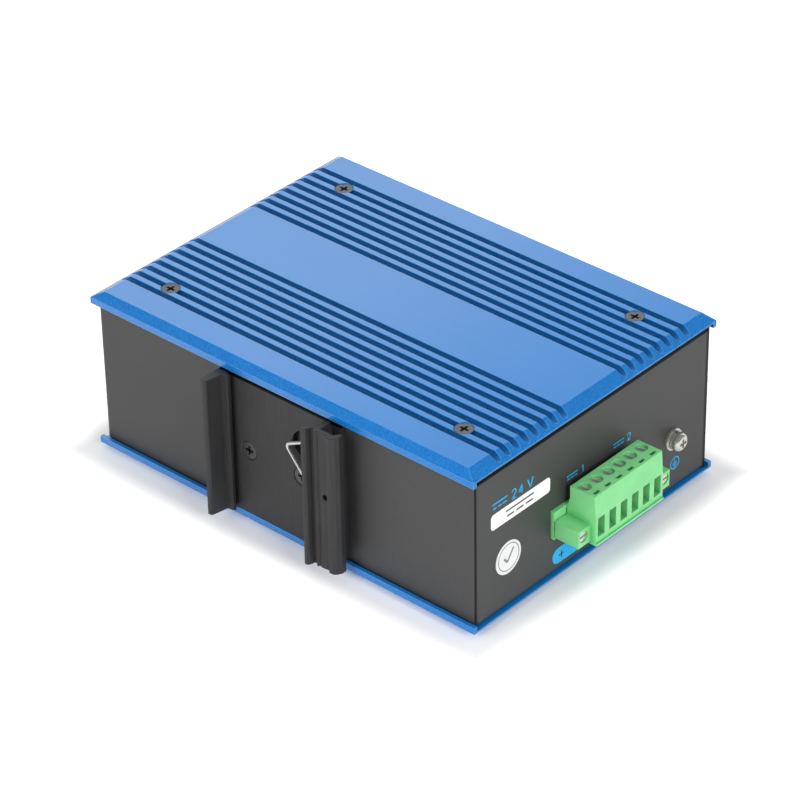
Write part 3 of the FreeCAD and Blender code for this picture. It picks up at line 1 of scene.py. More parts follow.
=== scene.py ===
# %% [markdown]
# # A rail mounted network switch, lying on its side
#
# The shapes of this switch are already solid parts: two ribbed covers, a folded steel housing, a
# rail clip, a green power plug and all that sits inside. This lesson dresses them. It gives every
# part the finish that the real one has, adds what is printed on the steel, and sets up a small
# white studio with a camera where the photographer stood.

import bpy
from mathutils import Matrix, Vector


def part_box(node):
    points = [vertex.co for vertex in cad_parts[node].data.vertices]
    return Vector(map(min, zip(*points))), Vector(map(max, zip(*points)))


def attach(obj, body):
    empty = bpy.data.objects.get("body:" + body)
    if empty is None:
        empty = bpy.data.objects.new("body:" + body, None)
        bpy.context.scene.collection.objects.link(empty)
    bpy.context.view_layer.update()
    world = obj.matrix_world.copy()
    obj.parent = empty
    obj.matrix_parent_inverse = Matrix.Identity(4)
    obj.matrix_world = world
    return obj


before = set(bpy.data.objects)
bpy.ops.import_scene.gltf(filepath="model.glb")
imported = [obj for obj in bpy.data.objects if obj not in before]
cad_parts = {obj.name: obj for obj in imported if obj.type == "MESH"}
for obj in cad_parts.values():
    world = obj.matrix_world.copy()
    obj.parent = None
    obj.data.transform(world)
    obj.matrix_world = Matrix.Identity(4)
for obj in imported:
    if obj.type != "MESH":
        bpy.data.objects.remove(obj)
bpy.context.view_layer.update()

import math

import bmesh
import bpy
import numpy as np
from mathutils import Matrix, Vector

MM = 0.001

# %% [markdown]
# ## Camera
#
# The photographer stood well back with a long lens, so the sides of the switch hardly converge. A
# camera is a place and three directions. It could be aimed with a Track To constraint, but here
# the directions are worked out, because then the small roll of the picture is under control too.

# %% Camera
AZIMUTH, ELEVATION, ROLL = math.radians(42.107), math.radians(33.642), math.radians(-1.053)
# Where the switch's origin lies for the camera, in mm: how far off, how far right and how far up.
DISTANCE, SIDE, RISE = 1083.5, 1.11, -18.03
FOCAL_PIXELS, PICTURE_PIXELS, SENSOR_MM = 3618.9, 800, 36.0
NEAR, FAR = 0.01, 30.0


def camera_axes(azimuth, elevation, roll):
    """Rows: the camera's right, up and back directions.

    Back points from the origin to the camera; right is up cross back; roll turns right and up.
    """
    back = np.array([math.sin(azimuth) * math.cos(elevation),
                     -math.cos(azimuth) * math.cos(elevation), math.sin(elevation)])
    right = np.cross([0.0, 0.0, 1.0], back)
    right /= np.linalg.norm(right)
    up = np.cross(back, right)
    turn = np.array([[math.cos(roll), math.sin(roll)], [-math.sin(roll), math.cos(roll)]])
    return np.vstack([turn @ np.vstack([right, up]), back])


axes = camera_axes(AZIMUTH, ELEVATION, ROLL)
eye = (np.array([-SIDE, -RISE, DISTANCE]) @ axes) * MM
lens = bpy.data.cameras.new("photo_camera")
lens.sensor_width = SENSOR_MM
lens.lens = FOCAL_PIXELS * SENSOR_MM / PICTURE_PIXELS
lens.clip_start, lens.clip_end = NEAR, FAR
camera = bpy.data.objects.new("photo_camera", lens)
bpy.context.scene.collection.objects.link(camera)
camera.matrix_world = Matrix.Translation(Vector(eye)) @ Matrix(axes.T.tolist()).to_4x4()
bpy.context.scene.camera = camera
bpy.context.scene.view_settings.view_transform = "Standard"
print("lens", round(lens.lens, 1), "mm, camera at", np.round(eye, 3).tolist(), "m")

# %% [markdown]
# ## Colours and sizes
#
# A colour is easiest to choose as a hex value, as a paint program shows it, but shaders reckon in
# linear light. One function does that change for every material. Another turns a real size into
# the scale that a texture node wants.

# %% Colour and scale


def linear(hex_colour):
    """sRGB hex to linear RGBA.

    A channel c becomes c / 12.92 up to 0.04045, else ((c + 0.055) / 1.055) to the power 2.4.
    """
    value = np.array([int(hex_colour[i:i + 2], 16) for i in (1, 3, 5)]) / 255.0
    low, high = value / 12.92, ((value + 0.055) / 1.055) ** 2.4
    return tuple(float(v) for v in np.where(value <= 0.04045, low, high)) + (1.0,)


def per_mm(millimetres):
    """Texture scale whose pattern repeats about once in this many millimetres."""
    return 1.0 / (millimetres * MM)


print("mid grey #808080 is", round(linear("#808080")[0], 3), "in linear light")
print("a grain of 0.5 mm has scale", per_mm(0.5))

# %% [markdown]
# ## Nodes
#
# A material is a tree of nodes. One small function adds any node with its settings and links, so
# that each material below reads as a short list. Every tree starts from the coordinates of the
# piece itself, so that its pattern stays on it wherever it moves. A Mix node has its colours
# behind numbered sockets, so those numbers get names here: the colour under, the one laid over
# it, and the result.

# %% Add nodes
MIX, MULTIPLY = {"data_type": "RGBA"}, {"data_type": "RGBA", "blend_type": "MULTIPLY"}
UNDER, OVER, BLENDED = 6, 7, 2


def add(tree, kind, settings=None, inputs=None):
    """Adds one node. An input's value is a number or colour, or an output socket to link from."""
    node = tree.nodes.new(kind)
    for name, value in (settings or {}).items():
        setattr(node, name, value)
    for name, value in (inputs or {}).items():
        if isinstance(value, bpy.types.NodeSocket):
            tree.links.new(value, node.inputs[name])
        else:
            node.inputs[name].default_value = value
    return node


def start(name):
    """A new material, its tree, and in that tree the Object coordinates of the piece."""
    material = bpy.data.materials.new(name)
    material.use_nodes = True
    tree = material.node_tree
    tree.nodes.clear()
    place = add(tree, "ShaderNodeTexCoord").outputs["Object"]
    return material, tree, place


def finish_with(tree, shader):
    """Links a shader to a new material output."""
    output = add(tree, "ShaderNodeOutputMaterial")
    tree.links.new(shader.outputs[0], output.inputs["Surface"])


def from_to(value, limits, results):
    """The inputs for a change of range: one result at the first limit, the other at the second."""
    return {"Value": value, "From Min": limits[0], "From Max": limits[1],
            "To Min": results[0], "To Max": results[1]}


def along_axis(tree, place, letter, limits_mm, results):
    """A number that goes from one result to another between two places along an axis."""
    axis = add(tree, "ShaderNodeSeparateXYZ", inputs={"Vector": place}).outputs[letter]
    limits = [limit * MM for limit in limits_mm]
    return add(tree, "ShaderNodeMapRange", inputs=from_to(axis, limits, results)).outputs["Result"]


print("a value from 0 to 1 that halves:", from_to(0.0, (0.0, 1.0), (1.0, 0.5)))

# %% [markdown]
# ## Patterns
#
# Real surfaces vary a little everywhere: grain, streaks and clouds of tone. Noise does all three,
# at a size in millimetres, and a stretch draws it out along an axis. Its value lies mostly
# between 0.3 and 0.7, so colours and roughness change over that span.

# %% Marks, tone and relief
NOISE_SPAN = (0.3, 0.7)
BEVEL_SAMPLES = 6


def blend_colours(tree, factor, low, high):
    """A colour that goes from low to high with the factor socket, over the span of noise."""
    ramp = add(tree, "ShaderNodeValToRGB", inputs={"Fac": factor})
    for element, position, colour in zip(ramp.color_ramp.elements, NOISE_SPAN, (low, high)):
        element.position, element.color = position, linear(colour)
    return ramp.outputs["Color"]


def spread(tree, factor, low, high):
    """A number that goes from low to high with the factor socket, over the span of noise."""
    span = from_to(factor, NOISE_SPAN, (low, high))
    return add(tree, "ShaderNodeMapRange", inputs=span).outputs["Result"]


def marks(tree, place, millimetres, stretch=(1.0, 1.0, 1.0), detail=2.0):
    """Random marks of about this size, drawn out along an axis by a stretch below 1."""
    moved = add(tree, "ShaderNodeMapping", inputs={"Vector": place, "Scale": stretch})
    made = add(tree, "ShaderNodeTexNoise", inputs={
        "Vector": moved.outputs[0], "Scale": per_mm(millimetres), "Detail": detail,
        "Roughness": 0.55})
    return made.outputs["Fac"]


def relief(tree, height, depth_mm, strength, edge_mm):
    """A skin with marks of this depth. An edge_mm above 0 rounds the look of the hard edges."""
    inputs = {"Height": height, "Distance": depth_mm * MM, "Strength": strength}
    if edge_mm:
        bevel = add(tree, "ShaderNodeBevel", {"samples": BEVEL_SAMPLES}, {"Radius": edge_mm * MM})
        inputs["Normal"] = bevel.outputs["Normal"]
    return add(tree, "ShaderNodeBump", inputs=inputs).outputs["Normal"]


print("tones change while the noise goes over", NOISE_SPAN)

# %% [markdown]
# ## Recesses and edges
#
# Shade is painted into grooves and a highlight onto edges. An Ambient Occlusion node says how
# shut in a point is. A Bevel node says how the normal would turn if the edges were round: where
# that differs from the face's own normal, there is an edge. Both read only the piece, never the
# camera.

# %% Masks for recesses and edges
SHUT_IN, OPEN = 0.25, 0.8
ON_FACE, ON_EDGE = 0.997, 0.93


def recess_shade(tree, reach_mm, deepest):
    """Painted shade: 1 in the open, down to a deepest value in grooves narrower than the reach."""
    shade = add(tree, "ShaderNodeAmbientOcclusion", {"samples": 2, "only_local": True},
                {"Distance": reach_mm * MM}).outputs["AO"]
    span = from_to(shade, (SHUT_IN, OPEN), (deepest, 1.0))
    return add(tree, "ShaderNodeMapRange", inputs=span).outputs["Result"]


def edge_highlight(tree, radius_mm, most):
    """Painted highlight: 0 on flat faces, up to a share on the edges, where light catches.

    Only near an edge does the rounded normal leave the face's own: their dot product falls.
    """
    bevel = add(tree, "ShaderNodeBevel", {"samples": BEVEL_SAMPLES}, {"Radius": radius_mm * MM})
    face = add(tree, "ShaderNodeNewGeometry").outputs["True Normal"]
    same = add(tree, "ShaderNodeVectorMath", {"operation": "DOT_PRODUCT"}, {
        0: bevel.outputs["Normal"], 1: face}).outputs["Value"]
    span = from_to(same, (ON_FACE, ON_EDGE), (0.0, most))
    return add(tree, "ShaderNodeMapRange", inputs=span).outputs["Result"]


print("an edge begins where the normals' dot product falls below", ON_FACE)

# %% [markdown]
# ## Blue anodised covers
#
# The covers are extruded aluminium, bead blasted, dyed blue in the anodising bath and then milled
# at both ends. The dye is deep where light falls on it straight, and the clear oxide over it
# gives a pale sheen at a low angle. A metal with a clear coat shows both. The blasted grain is
# real, but its strong contrast on the sloped edges is a painted glint, so it follows how far a
# face leans from level. Shade is painted into the grooves, and a highlight onto the edges.

# %% Blue anodised aluminium
# The painted glint of the grain grows while the size of a normal's Z falls over this span.
LEANING = (0.98, 0.85)
# The sheen fades from the middle to the terminal end, over these X in mm.
SHEEN_X = (-10, 74)


def anodised_blue():
    """Dyed oxide on aluminium: grain of 0.45 mm, drawn coarser than the real blast marks to show.

    A level face has a normal with a Z of size 1; the more a face leans, the smaller that is.
    Painted glints, painted shade in grooves and painted edge highlights are in the colour.
    """
    material, tree, place = start("anodised_aluminium_blue")
    grain = marks(tree, place, 0.45, detail=3.0)
    cloud = marks(tree, place, 30.0, (0.35, 1.0, 1.0))
    streak = marks(tree, place, 0.9, (0.02, 1.0, 1.0))
    face = add(tree, "ShaderNodeNewGeometry").outputs["True Normal"]
    up = add(tree, "ShaderNodeSeparateXYZ", inputs={"Vector": face}).outputs["Z"]
    upright = add(tree, "ShaderNodeMath", {"operation": "ABSOLUTE"}, {0: up}).outputs[0]
    sloped = add(tree, "ShaderNodeMapRange", inputs=from_to(upright, LEANING, (0.12, 1.0)))
    # Painted glints: sloped faces get the grain's wide spread of tones, level faces an even blue.
    dye_and_glints = add(tree, "ShaderNodeMix", MIX, {
        "Factor": sloped.outputs["Result"], UNDER: blend_colours(tree, cloud, "#0A79C6", "#0E7ECB"),
        OVER: blend_colours(tree, grain, "#0460AC", "#1882D0")})
    # Painted highlight: a pale blue on the edges.
    edge_lit = add(tree, "ShaderNodeMix", MIX, {
        "Factor": edge_highlight(tree, 0.25, 0.55), UNDER: dye_and_glints.outputs[BLENDED], OVER: linear("#78B4EE")})
    # Painted shade: the colour darkens in the grooves.
    colour = add(tree, "ShaderNodeMix", MULTIPLY, {
        "Factor": 1.0, UNDER: edge_lit.outputs[BLENDED], OVER: recess_shade(tree, 4.0, 0.3)})
    shader = add(tree, "ShaderNodeBsdfPrincipled", inputs={
        "Base Color": colour.outputs[BLENDED], "Metallic": 0.15,
        "Coat Weight": along_axis(tree, place, "X", SHEEN_X, (1.0, 0.25)), "Coat Roughness": 0.24,
        "Roughness": spread(tree, streak, 0.38, 0.44),
        "Normal": relief(tree, grain, 0.012, 0.5, 0.25)})
    finish_with(tree, shader)
    return material


BLUE = anodised_blue()
print("made", BLUE.name)

# %% [markdown]
# ## Black coats
#
# The housing is steel with a fine powder coat: nearly black, with a soft gloss and a skin that is
# faintly uneven, like a very fine orange peel. Shade is painted in black in the narrow line under
# the cover, and along each bend. A black metal shines less than a black plastic, so these painted
# lines are metal, which keeps the sheen out of them.

# %% Black powder coat
# The painted shadow under the cover's edge fades in over these heights in mm.
COVER_SHADOW_Z = (50.6, 50.9)
# The bend's outer radius in mm, and the shares of it over which the painted shade of the bend fades
# in.
BEND_RADIUS = 1.6
BEND_SHADE_SPAN = (0.64, 0.6)


def powder_coat():
    """Baked powder on steel: peel of 0.7 mm over specks of 0.25 mm, with painted shade in dark
    lines.

    A square corner would reach the sum of x and y of the two walls. A bend's middle stays short of
    that by about 0.6 of its radius, and the walls by 1 radius or more, so |x| + |y| finds the line.
    """
    material, tree, place = start("powder_coated_steel_black")
    peel = marks(tree, place, 0.7)
    speck = marks(tree, place, 0.25, detail=1.0)
    cloud = marks(tree, place, 45.0)
    skin = add(tree, "ShaderNodeMath", {"operation": "ADD"}, {0: peel, 1: speck}).outputs[0]
    split = add(tree, "ShaderNodeSeparateXYZ", inputs={"Vector": place}).outputs
    size_x, size_y = [
        add(tree, "ShaderNodeMath", {"operation": "ABSOLUTE"}, {0: split[letter]}).outputs[0]
        for letter in "XY"]
    reach = add(tree, "ShaderNodeMath", {"operation": "ADD"}, {0: size_x, 1: size_y}).outputs[0]
    low_corner, high_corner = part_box("housing_wrap")
    square = high_corner.x - low_corner.y
    bend_shade = from_to(reach, [square - share * BEND_RADIUS * MM for share in BEND_SHADE_SPAN], (1.0, 0.35))
    # Painted shade: black in the shadow under the cover's edge and along each bend's outer line.
    lines = add(tree, "ShaderNodeMath", {"operation": "MULTIPLY"}, {
        0: along_axis(tree, place, "Z", COVER_SHADOW_Z, (1.0, 0.04)),
        1: add(tree, "ShaderNodeMapRange", inputs=bend_shade).outputs["Result"]}).outputs[0]
    colour = add(tree, "ShaderNodeMix", MULTIPLY, {
        "Factor": 1.0, UNDER: blend_colours(tree, speck, "#363637", "#3F3F3F"), OVER: lines})
    # Metal in the painted shade, so that no sheen shows there.
    metal = add(tree, "ShaderNodeMath", {"operation": "SUBTRACT"}, {0: 1.0, 1: lines})
    shader = add(tree, "ShaderNodeBsdfPrincipled", inputs={
        "Base Color": colour.outputs[BLENDED], "Metallic": metal.outputs[0],
        "Roughness": spread(tree, cloud, 0.44, 0.5), "Specular IOR Level": 0.55,
        "Normal": relief(tree, skin, 0.01, 0.45, 0.3)})
    finish_with(tree, shader)
    return material


COAT = powder_coat()
print("made", COAT.name)

# %% [markdown]
# The rail clip is aluminium with black dye, which is a little smoother than powder and keeps the
# straight lines of the extrusion. A shadow is painted on its plate, black, in the narrow line under
# the cover's lip, and its hooks stand clear of that painted shadow.

# %% Black anodised aluminium
# The painted shadow under the lip fades in over these heights, and the hooks end over these
# depths, in mm.
LIP_SHADOW_Z = (50.2, 50.6)
HOOKS_Y = (-54.8, -54.3)


def anodised_black():
    """Black dyed oxide: lines of 0.4 mm that run along the extrusion, which is upright here."""
    material, tree, place = start("anodised_aluminium_black")
    # Painted shadow: the plate turns black under the cover's lip, while the hooks stay clear of it.
    in_light = add(tree, "ShaderNodeMath", {"operation": "MAXIMUM"}, {
        0: along_axis(tree, place, "Z", LIP_SHADOW_Z, (1.0, 0.08)),
        1: along_axis(tree, place, "Y", HOOKS_Y, (1.0, 0.0))}).outputs[0]
    line = marks(tree, place, 0.4, (1.0, 1.0, 0.03))
    speck = marks(tree, place, 0.3, detail=1.0)
    colour = add(tree, "ShaderNodeMix", MULTIPLY, {
        "Factor": 1.0, UNDER: blend_colours(tree, line, "#29292A", "#323233"), OVER: in_light})
    metal = add(tree, "ShaderNodeMapRange", inputs=from_to(in_light, (0.0, 1.0), (1.0, 0.15)))
    shader = add(tree, "ShaderNodeBsdfPrincipled", inputs={
        "Base Color": colour.outputs[BLENDED], "Metallic": metal.outputs["Result"],
        "Roughness": spread(tree, speck, 0.42, 0.5),
        "Normal": relief(tree, line, 0.008, 0.5, 0.3)})
    finish_with(tree, shader)
    return material


CLIP_BLACK = anodised_black()
print("made", CLIP_BLACK.name)

# %% [markdown]
# ## Plated metals
#
# Screws, washers, cages and shields are steel and brass under a thin coat of zinc, nickel or tin.
# A metal has no colour of its own under the shine: its base colour is the colour of the
# reflection. One function makes them all, from the plating's colour, how rough it is and the size
# of its marks. The clamp cages are zinc with a greenish passivation, which deepens the green of
# the wire entries.

# %% Plated metals


def plated(name, low, high, roughness, mark_mm, edge_mm=0.12):
    """A plated metal: two close tones, a roughness that wanders by a fifth, and fine marks."""
    material, tree, place = start(name)
    mark = marks(tree, place, mark_mm, detail=3.0)
    shader = add(tree, "ShaderNodeBsdfPrincipled", inputs={
        "Base Color": blend_colours(tree, mark, low, high), "Metallic": 0.85,
        "Roughness": spread(tree, mark, roughness * 0.8, roughness * 1.2),
        "Normal": relief(tree, mark, 0.006, 0.4, edge_mm)})
    finish_with(tree, shader)
    return material


NICKEL = plated("nickel_plated_steel", "#DEDBD4", "#ECE9E3", 0.24, 0.5)
BLACK_ZINC = plated("black_zinc_steel", "#4C4C4E", "#6C6C6E", 0.3, 0.3)
DULL_ZINC = plated("zinc_plated_steel", "#B9B8B4", "#CCCBC7", 0.5, 0.4)
# A lighter copy of the zinc: painted light, so that the screws deep in the plug's holes look lit.
LIT_CLAMP_ZINC = plated("zinc_clamp_screw_painted_lighter", "#E6E8E3", "#F0F2ED", 0.42, 0.4)
WIRE_STEEL = plated("drawn_spring_steel", "#DEDCD6", "#ECEAE5", 0.3, 0.25, 0.05)
CAGE_NICKEL = plated("nickel_plated_brass", "#B9B29E", "#CCC5B2", 0.3, 0.4)
CAGE_ZINC = plated("green_passivated_zinc_cage", "#6DA57C", "#7CB28A", 0.24, 0.4)
TIN = plated("tin_plated_steel", "#BEBDBA", "#CBCAC7", 0.3, 1.2)
GOLD = plated("gold_flashed_bronze", "#C9973B", "#DDAE52", 0.25, 0.2, 0.04)
SINK = plated("black_anodised_sink", "#1A1A1C", "#232326", 0.5, 0.8)
METALS = [NICKEL, BLACK_ZINC, DULL_ZINC, LIT_CLAMP_ZINC, WIRE_STEEL,
          CAGE_NICKEL, CAGE_ZINC, TIN, GOLD, SINK]
print("plated metals:", len(METALS))

# %% [markdown]
# ## Moulded plastics, board and paper
#
# The plug is moulded in green nylon, a little milky, with soft edges and a half gloss; in its
# holes a deeper green is painted in as shade. Chips, lamp holder and jacks are black plastics.
# The circuit board is glass and resin under green resist.

# %% Plastics, board and paper
HOLE_REACH_MM = 3.0


def moulded(name, low, high, roughness, grain_mm, milky=0.0, edge_mm=0.2, hole_shade_colour=None):
    """A moulded plastic: close tones, a fine grain from the mould, and light that sinks in.

    A painted shade colour, if given, is mixed in where walls within the reach shut a point in.
    """
    material, tree, place = start(name)
    grain = marks(tree, place, grain_mm)
    cloud = marks(tree, place, 6.0)
    colour = blend_colours(tree, cloud, low, high)
    if hole_shade_colour:
        colour = add(tree, "ShaderNodeMix", MIX, {
            "Factor": recess_shade(tree, HOLE_REACH_MM, 0.0), UNDER: linear(hole_shade_colour), OVER: colour,
        }).outputs[BLENDED]
    shader = add(tree, "ShaderNodeBsdfPrincipled", inputs={
        "Base Color": colour,
        "Roughness": spread(tree, grain, roughness * 0.88, roughness * 1.12),
        "Subsurface Weight": milky, "Subsurface Scale": 0.4 * MM,
        "Normal": relief(tree, grain, 0.008, 0.35, edge_mm)})
    finish_with(tree, shader)
    return material


# The last colour is the painted shade in the plug's holes.
GREEN = moulded("moulded_nylon_green", "#7ACC86", "#84D58F", 0.36, 0.35, 0.15, 0.22, "#2BA055")
BLACK_PLASTIC = moulded("moulded_polyester_black", "#17171A", "#1E1E21", 0.42, 0.4)
CHIP = moulded("moulded_epoxy_black", "#1B1B1C", "#222224", 0.55, 0.25)
RESIST = moulded("green_solder_resist", "#0E4A2A", "#135A34", 0.3, 1.5)
LENS = moulded("clouded_lamp_resin", "#B9D7A5", "#C6E0B4", 0.25, 0.5, 0.3)
TAPE = moulded("polyester_tape_yellow", "#C79A1E", "#D2A62B", 0.35, 0.8)
SLEEVE = moulded("shrink_sleeve_blue", "#1B2A55", "#213266", 0.3, 0.9)
WHITE_PRINT = moulded("white_screen_print", "#E9EAE9", "#F2F2F1", 0.5, 0.3, 0.0, 0.0)
CYAN_PRINT = moulded("cyan_screen_print", "#0FA0DA", "#18A8E2", 0.5, 0.3, 0.0, 0.0)
BLACK_PRINT = moulded("black_screen_print", "#2A2A2C", "#333335", 0.5, 0.3, 0.0, 0.0)
PAPER = moulded("coated_sticker_paper", "#DADADA", "#E4E4E3", 0.42, 0.6, 0.0, 0.0)
MOULDED = [GREEN, BLACK_PLASTIC, CHIP, RESIST, LENS, TAPE, SLEEVE]
PRINTS = [WHITE_PRINT, CYAN_PRINT, BLACK_PRINT, PAPER]
print("plastics:", len(MOULDED), "prints and papers:", len(PRINTS))

# %% [markdown]
# ## Finishes on the parts
#
# Every part of the frame already has its shape, so it only needs its finish. A table from the
# first words of a part's name to a material is easy to read and to check. The longest words that
# fit are the ones that count, and a part with no entry stops the script.

# %% Give each part its finish
FINISHES = {
    "upper_cover_screws": BLACK_ZINC, "lower_cover_screws": BLACK_ZINC,
    "upper_cover": BLUE, "lower_cover": BLUE,
    "housing_wrap": COAT, "front_panel": COAT,
    "din_clip_screws": BLACK_ZINC, "din_clip": CLIP_BLACK, "din_spring_wire": WIRE_STEEL,
    "terminal_plug": GREEN, "power_header": GREEN,
    "clamp_screw_": LIT_CLAMP_ZINC, "clamp_cage_": CAGE_ZINC, "plug_flange_screws": NICKEL,
    "plug_contacts": CAGE_NICKEL, "header_pins": CAGE_NICKEL, "header_nuts": CAGE_NICKEL,
    "earth_": NICKEL, "round_sticker": PAPER,
    "press_nuts": DULL_ZINC, "board_spacers": DULL_ZINC, "board_screws": NICKEL,
    "main_board": RESIST, "switch_chip": CHIP, "support_chips": CHIP, "chip_heat_sink": SINK,
    "signal_transformers": CHIP, "power_coils": CHIP, "power_transformer": TAPE,
    "bulk_capacitors": SLEEVE, "jack_shield_": TIN, "jack_body_": BLACK_PLASTIC,
    "jack_contacts_": GOLD, "module_cage_": TIN, "module_socket_": BLACK_PLASTIC,
    "lamp_holder": BLACK_PLASTIC, "indicator_lamps": LENS,
}
for name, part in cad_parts.items():
    first_words = max((words for words in FINISHES if name.startswith(words)), key=len)
    part.data.materials.clear()
    part.data.materials.append(FINISHES[first_words])
print("finished parts:", len(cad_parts))

# %% [markdown]
# ## Printing on the terminal end
#
# Screen print is a film of ink a few hundredths of a millimetre thick. It could be a picture on
# the steel, but a thin closed piece for each mark stays sharp at any distance. Every mark here is
# a band between two curves: a ring is a band between two circles, a stroke of a number is a band
# along its middle line, and a rounded label is a band between its upper and its lower edge.

# %% Curves of a mark


def arc(centre, radius, start_deg, end_deg, count):
    """Points of a circle: centre plus radius times cosine and sine of even steps of angle."""
    turn = np.radians(np.linspace(start_deg, end_deg, count))
    return np.stack([centre[0] + radius * np.cos(turn), centre[1] + radius * np.sin(turn)], 1)


def stroke(points, width):
    """Both edges of a line of even width: each point moved half the width along its normal.

    The normal is the tangent turned a quarter, and the tangent is the mean of the steps beside it.
    """
    points = np.asarray(points, float)
    step = np.gradient(points, axis=0)
    tangent = step / np.linalg.norm(step, axis=1, keepdims=True)
    normal = np.stack([-tangent[:, 1], tangent[:, 0]], 1)
    return points + normal * width / 2, points - normal * width / 2


def along_line(corners, step=0.25):
    """Even points along straight runs between corners, so that a stroke keeps its width."""
    corners = np.asarray(corners, float)
    runs = np.linalg.norm(np.diff(corners, axis=0), axis=1)
    marks = np.concatenate([[0.0], np.cumsum(runs)])
    where = np.linspace(0.0, marks[-1], max(2, int(marks[-1] / step) + 1))
    return np.stack([np.interp(where, marks, corners[:, k]) for k in (0, 1)], 1)


def rounded_bar(left, right, low, high, radius, count=16):
    """Upper and lower edge of a bar with rounded corners: a quarter circle at each upper corner.

    The lower edge is the upper one mirrored in the middle line.
    """
    middle = (high + low) / 2
    upper = np.concatenate([arc((left + radius, high - radius), radius, 180, 90, count),
                            arc((right - radius, high - radius), radius, 90, 0, count)])
    return upper, np.stack([upper[:, 0], 2 * middle - upper[:, 1]], 1)


quarter = arc((0.0, 0.0), 1.0, 0, 90, 5)
print("a quarter circle in 5 points:", np.round(quarter, 2).tolist())

# %% [markdown]
# A band becomes a closed mesh by carrying a small rectangle along it: two corners on the steel
# and two at the top of the film. Neighbouring rectangles are joined by four faces, and the ends
# of an open band get a face each. All bands of one ink go into one mesh, which rides on the case.

# %% Mesh of a mark


def mesh_piece(name, verts, faces, material, body="case"):
    """A new object from arrays of corners and faces, with outward normals, that rides on a body."""
    mesh = bpy.data.meshes.new(name)
    mesh.from_pydata(verts.tolist(), [], faces.tolist())
    mesh.validate()
    piece = bpy.data.objects.new(name, mesh)
    bpy.context.scene.collection.objects.link(piece)
    tidy = bmesh.new()
    tidy.from_mesh(mesh)
    bmesh.ops.remove_doubles(tidy, verts=tidy.verts, dist=1e-7)
    bmesh.ops.recalc_face_normals(tidy, faces=tidy.faces)
    tidy.to_mesh(mesh)
    tidy.free()
    mesh.polygons.foreach_set("use_smooth", [False] * len(mesh.polygons))
    mesh.materials.append(material)
    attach(piece, body)
    return piece


def bands_piece(name, wall, film, bands, material):
    """One closed mesh of several bands on a wall that faces +X, at this x and this thick, in mm.

    A band is (edge, other edge, closed), with both edges as (y, z) points. Corners come in fours:
    both edges at the wall, then both at the film's top.
    """
    verts, faces, base = [], [], 0
    for edge_a, edge_b, closed in bands:
        count = len(edge_a)
        loops = [np.column_stack([np.full(count, x), edge]) for x in (wall, wall + film)
                 for edge in (edge_a, edge_b)]
        verts.append(np.stack(loops, 1).reshape(-1, 3))
        here = np.arange(count if closed else count - 1)
        there = (here + 1) % count
        for p, q in ((0, 2), (2, 3), (3, 1), (1, 0)):
            face = [4 * here + p, 4 * there + p, 4 * there + q, 4 * here + q]
            faces.append(base + np.stack(face, 1))
        if not closed:
            last = 4 * (count - 1)
            faces.append(base + np.array([[0, 1, 3, 2], [last, last + 2, last + 3, last + 1]]))
        base += 4 * count
    return mesh_piece(name, np.concatenate(verts) * MM, np.concatenate(faces), material)


END_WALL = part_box("housing_wrap")[1].x / MM
FILM = 0.05
print("the terminal end is at x =", round(END_WALL, 2), "mm")

# %% [markdown]
# The marks say only what any such switch says, in standard signs: direct current is a line over a
# broken line, with 24 V after it; earth is a stem over three bars in a ring; and the two inputs
# have a plain 1 and 2. First come the middle lines of the signs, which a stroke then makes wide.

# %% Lines of signs and numbers
FINE_STEP = 0.08


def digit(which, left, low, high):
    """The middle line of a plain 1, 2 or 4, from its left edge and its height.

    A 4 is one line: up its stem, down the slope and along the bar. A 2 is an arc and two straights.
    """
    tall = high - low
    if which == 4:
        return [along_line([(left + tall * 0.44, low), (left + tall * 0.44, high),
                            (left, low + tall * 0.3), (left + tall * 0.6, low + tall * 0.3)],
                           FINE_STEP)]
    if which == 1:
        return [along_line([(left + tall * 0.32, low), (left + tall * 0.32, high),
                            (left + tall * 0.05, high - tall * 0.24)], FINE_STEP)]
    bowl = arc((left + tall * 0.28, high - tall * 0.28), tall * 0.28, 170, -40, 24)
    tail = along_line([bowl[-1], (left, low), (left + tall * 0.58, low)], FINE_STEP)
    return [np.concatenate([bowl, tail[1:]])]


def letter_v(left, low, high, width):
    """The middle line of a V: down to half its width and up again."""
    return [along_line([(left, high), (left + width / 2, low), (left + width, high)], FINE_STEP)]


def direct_current(left, right, middle, gap):
    """The sign for direct current: a full line over three dashes."""
    third = (right - left) / 3
    lines = [along_line([(left, middle + gap), (right, middle + gap)])]
    for index in range(3):
        begin = left + index * third + third * 0.12
        lines.append(along_line([(begin, middle - gap), (begin + third * 0.76, middle - gap)]))
    return lines


def strokes(lines, width):
    """Open bands of even width along these lines."""
    return [stroke(line, width) + (False,) for line in lines]


def ring(centre, outer, inner, count):
    """A closed band between two circles, without the last point, which would repeat the first."""
    return arc(centre, outer, 0, 360, count)[:-1], arc(centre, inner, 0, 360, count)[:-1], True


print("a sign for direct current has", len(direct_current(0.0, 6.0, 0.0, 0.5)), "lines")

# %% [markdown]
# The label is a white bar with the sign for direct current in black over it, and the badge under
# the plug is a cyan bar that begins with a plus. Ink over ink starts where the film below it
# ends.

# %% Label and badge
LABEL = dict(left=-45.6, right=-20.1, low=32.5, high=37.7, radius=1.2)
BADGE = dict(left=-18.7, right=14.5, low=5.5, high=10.8, radius=2.65)
PLUS_Y, PLUS_Z, PLUS_ARM = -14.8, 8.1, 1.2

bar = rounded_bar(**LABEL) + (False,)
bands_piece("end_label", END_WALL, FILM, [bar], WHITE_PRINT)
sign = strokes(direct_current(-39.3, -27.2, 35.1, 0.9), 0.5)
bands_piece("label_sign", END_WALL + FILM, FILM, sign, BLACK_PRINT)

